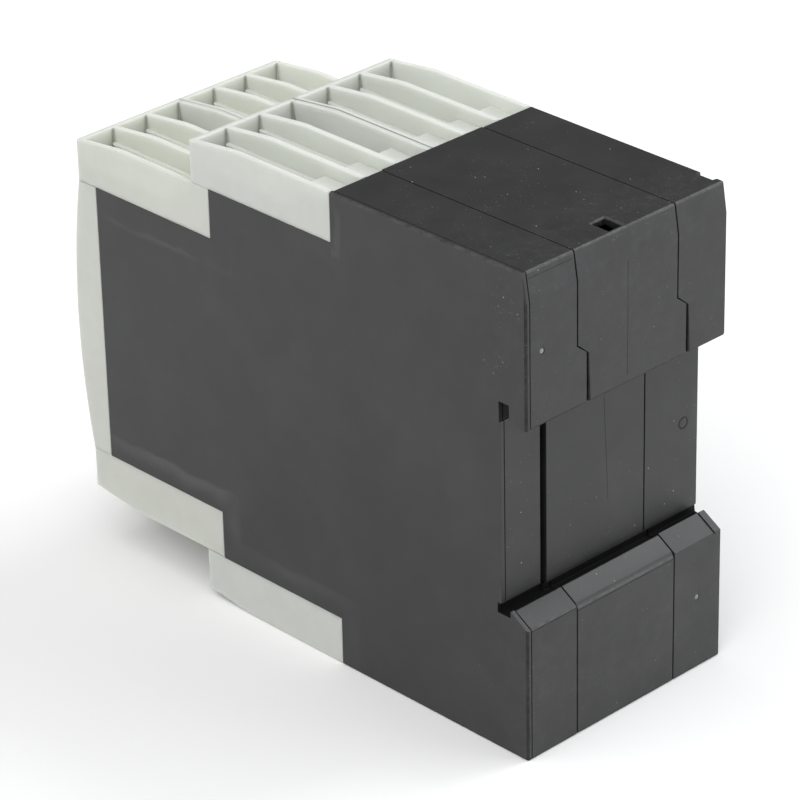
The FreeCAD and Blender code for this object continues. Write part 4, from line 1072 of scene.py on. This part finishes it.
def soft_panel(name, shape, place, size, radiance, colour):
    """An area light turned to the relay, as bright as asked however large it is."""
    lamp = bpy.data.lights.new(name, "AREA")
    lamp.shape = shape
    lamp.size = size
    area = size * size * (math.pi / 4 if shape == "DISK" else 1.0)
    lamp.energy = radiance * math.pi * area
    lamp.color = colour
    panel = bpy.data.objects.new(name, lamp)
    panel.location = place
    panel.rotation_euler = (-Vector(place)).to_track_quat("-Z", "Y").to_euler()
    bpy.context.scene.collection.objects.link(panel)
    print(name, round(lamp.energy, 2), "W")


soft_panel("overhead_panel", "DISK", (0.6, -0.1, 1.5), 2.0, 1.0, WHITE)
soft_panel("camera_side_panel", "SQUARE", (1.45, 0.9, 1.15), 1.2, 1.8, WHITE)
soft_panel("far_rail_panel", "SQUARE", (-1.35, 0.32, 1.6), 0.9, 5.0, COOL)
soft_panel("rail_side_panel", "SQUARE", (-1.1, 1.4, 0.5), 1.1, 2.4, COOLER)

# %% [markdown]
# The sky is an even pale grey. The roof mirrors the air low behind the relay, so a patch of sky there
# is dim, which keeps the roof as dark as it is in the photograph. Standard view settings show the
# white floor as white.

# %% Sky
DIM_TOWARD = (-0.61, -0.64, 0.47)
DIM_EDGE = (0.70, 0.95)
SKY, DIM_SKY = rgb(0.66, 0.66, 0.66), rgb(0.28, 0.28, 0.28)
world = bpy.data.worlds.new("studio_air")
world.use_nodes = True
air = Flow(world.node_tree)
direction = air.node("ShaderNodeTexCoord", output="Generated")
toward = {0: direction, 1: DIM_TOWARD}
dim = air.node("ShaderNodeVectorMath", {"operation": "DOT_PRODUCT"}, toward, "Value").fade(*DIM_EDGE)
glow = dim.tint(SKY, DIM_SKY)
world.node_tree.links.new(glow.socket, world.node_tree.nodes["Background"].inputs["Color"])
bpy.context.scene.world = world
bpy.context.scene.view_settings.view_transform = "Standard"
print("sky from", SKY[0], "to", DIM_SKY[0])

# %% [markdown]
# The photograph was taken with a long lens from above the rail side, so parallel edges hardly meet.
# The camera's place and its three axes were worked out from the case's corners, with no lens shift.

# %% Camera
CAMERA_PLACE = Vector((418.164, 392.477, 316.004)) * MM
CAMERA_RIGHT = Vector((-0.71584, 0.69799, -0.01959))
CAMERA_UP = Vector((-0.34048, -0.32441, 0.88251))
CAMERA_BACK = Vector((0.60963, 0.63841, 0.46988))
FOCAL_PIXELS = 4164.6
IMAGE_PIXELS = 800
SENSOR_MM = 36.0
NEAREST, FARTHEST = 0.05, 20.0
eye = bpy.data.cameras.new("camera")
eye.sensor_width = SENSOR_MM
eye.lens = SENSOR_MM * FOCAL_PIXELS / IMAGE_PIXELS
eye.clip_start = NEAREST
eye.clip_end = FARTHEST
camera = bpy.data.objects.new("camera", eye)
axes = Matrix((CAMERA_RIGHT, CAMERA_UP, CAMERA_BACK)).transposed()
camera.matrix_world = Matrix.Translation(CAMERA_PLACE) @ axes.to_4x4()
bpy.context.scene.collection.objects.link(camera)
bpy.context.scene.camera = camera
print("lens", round(eye.lens, 1), "mm")
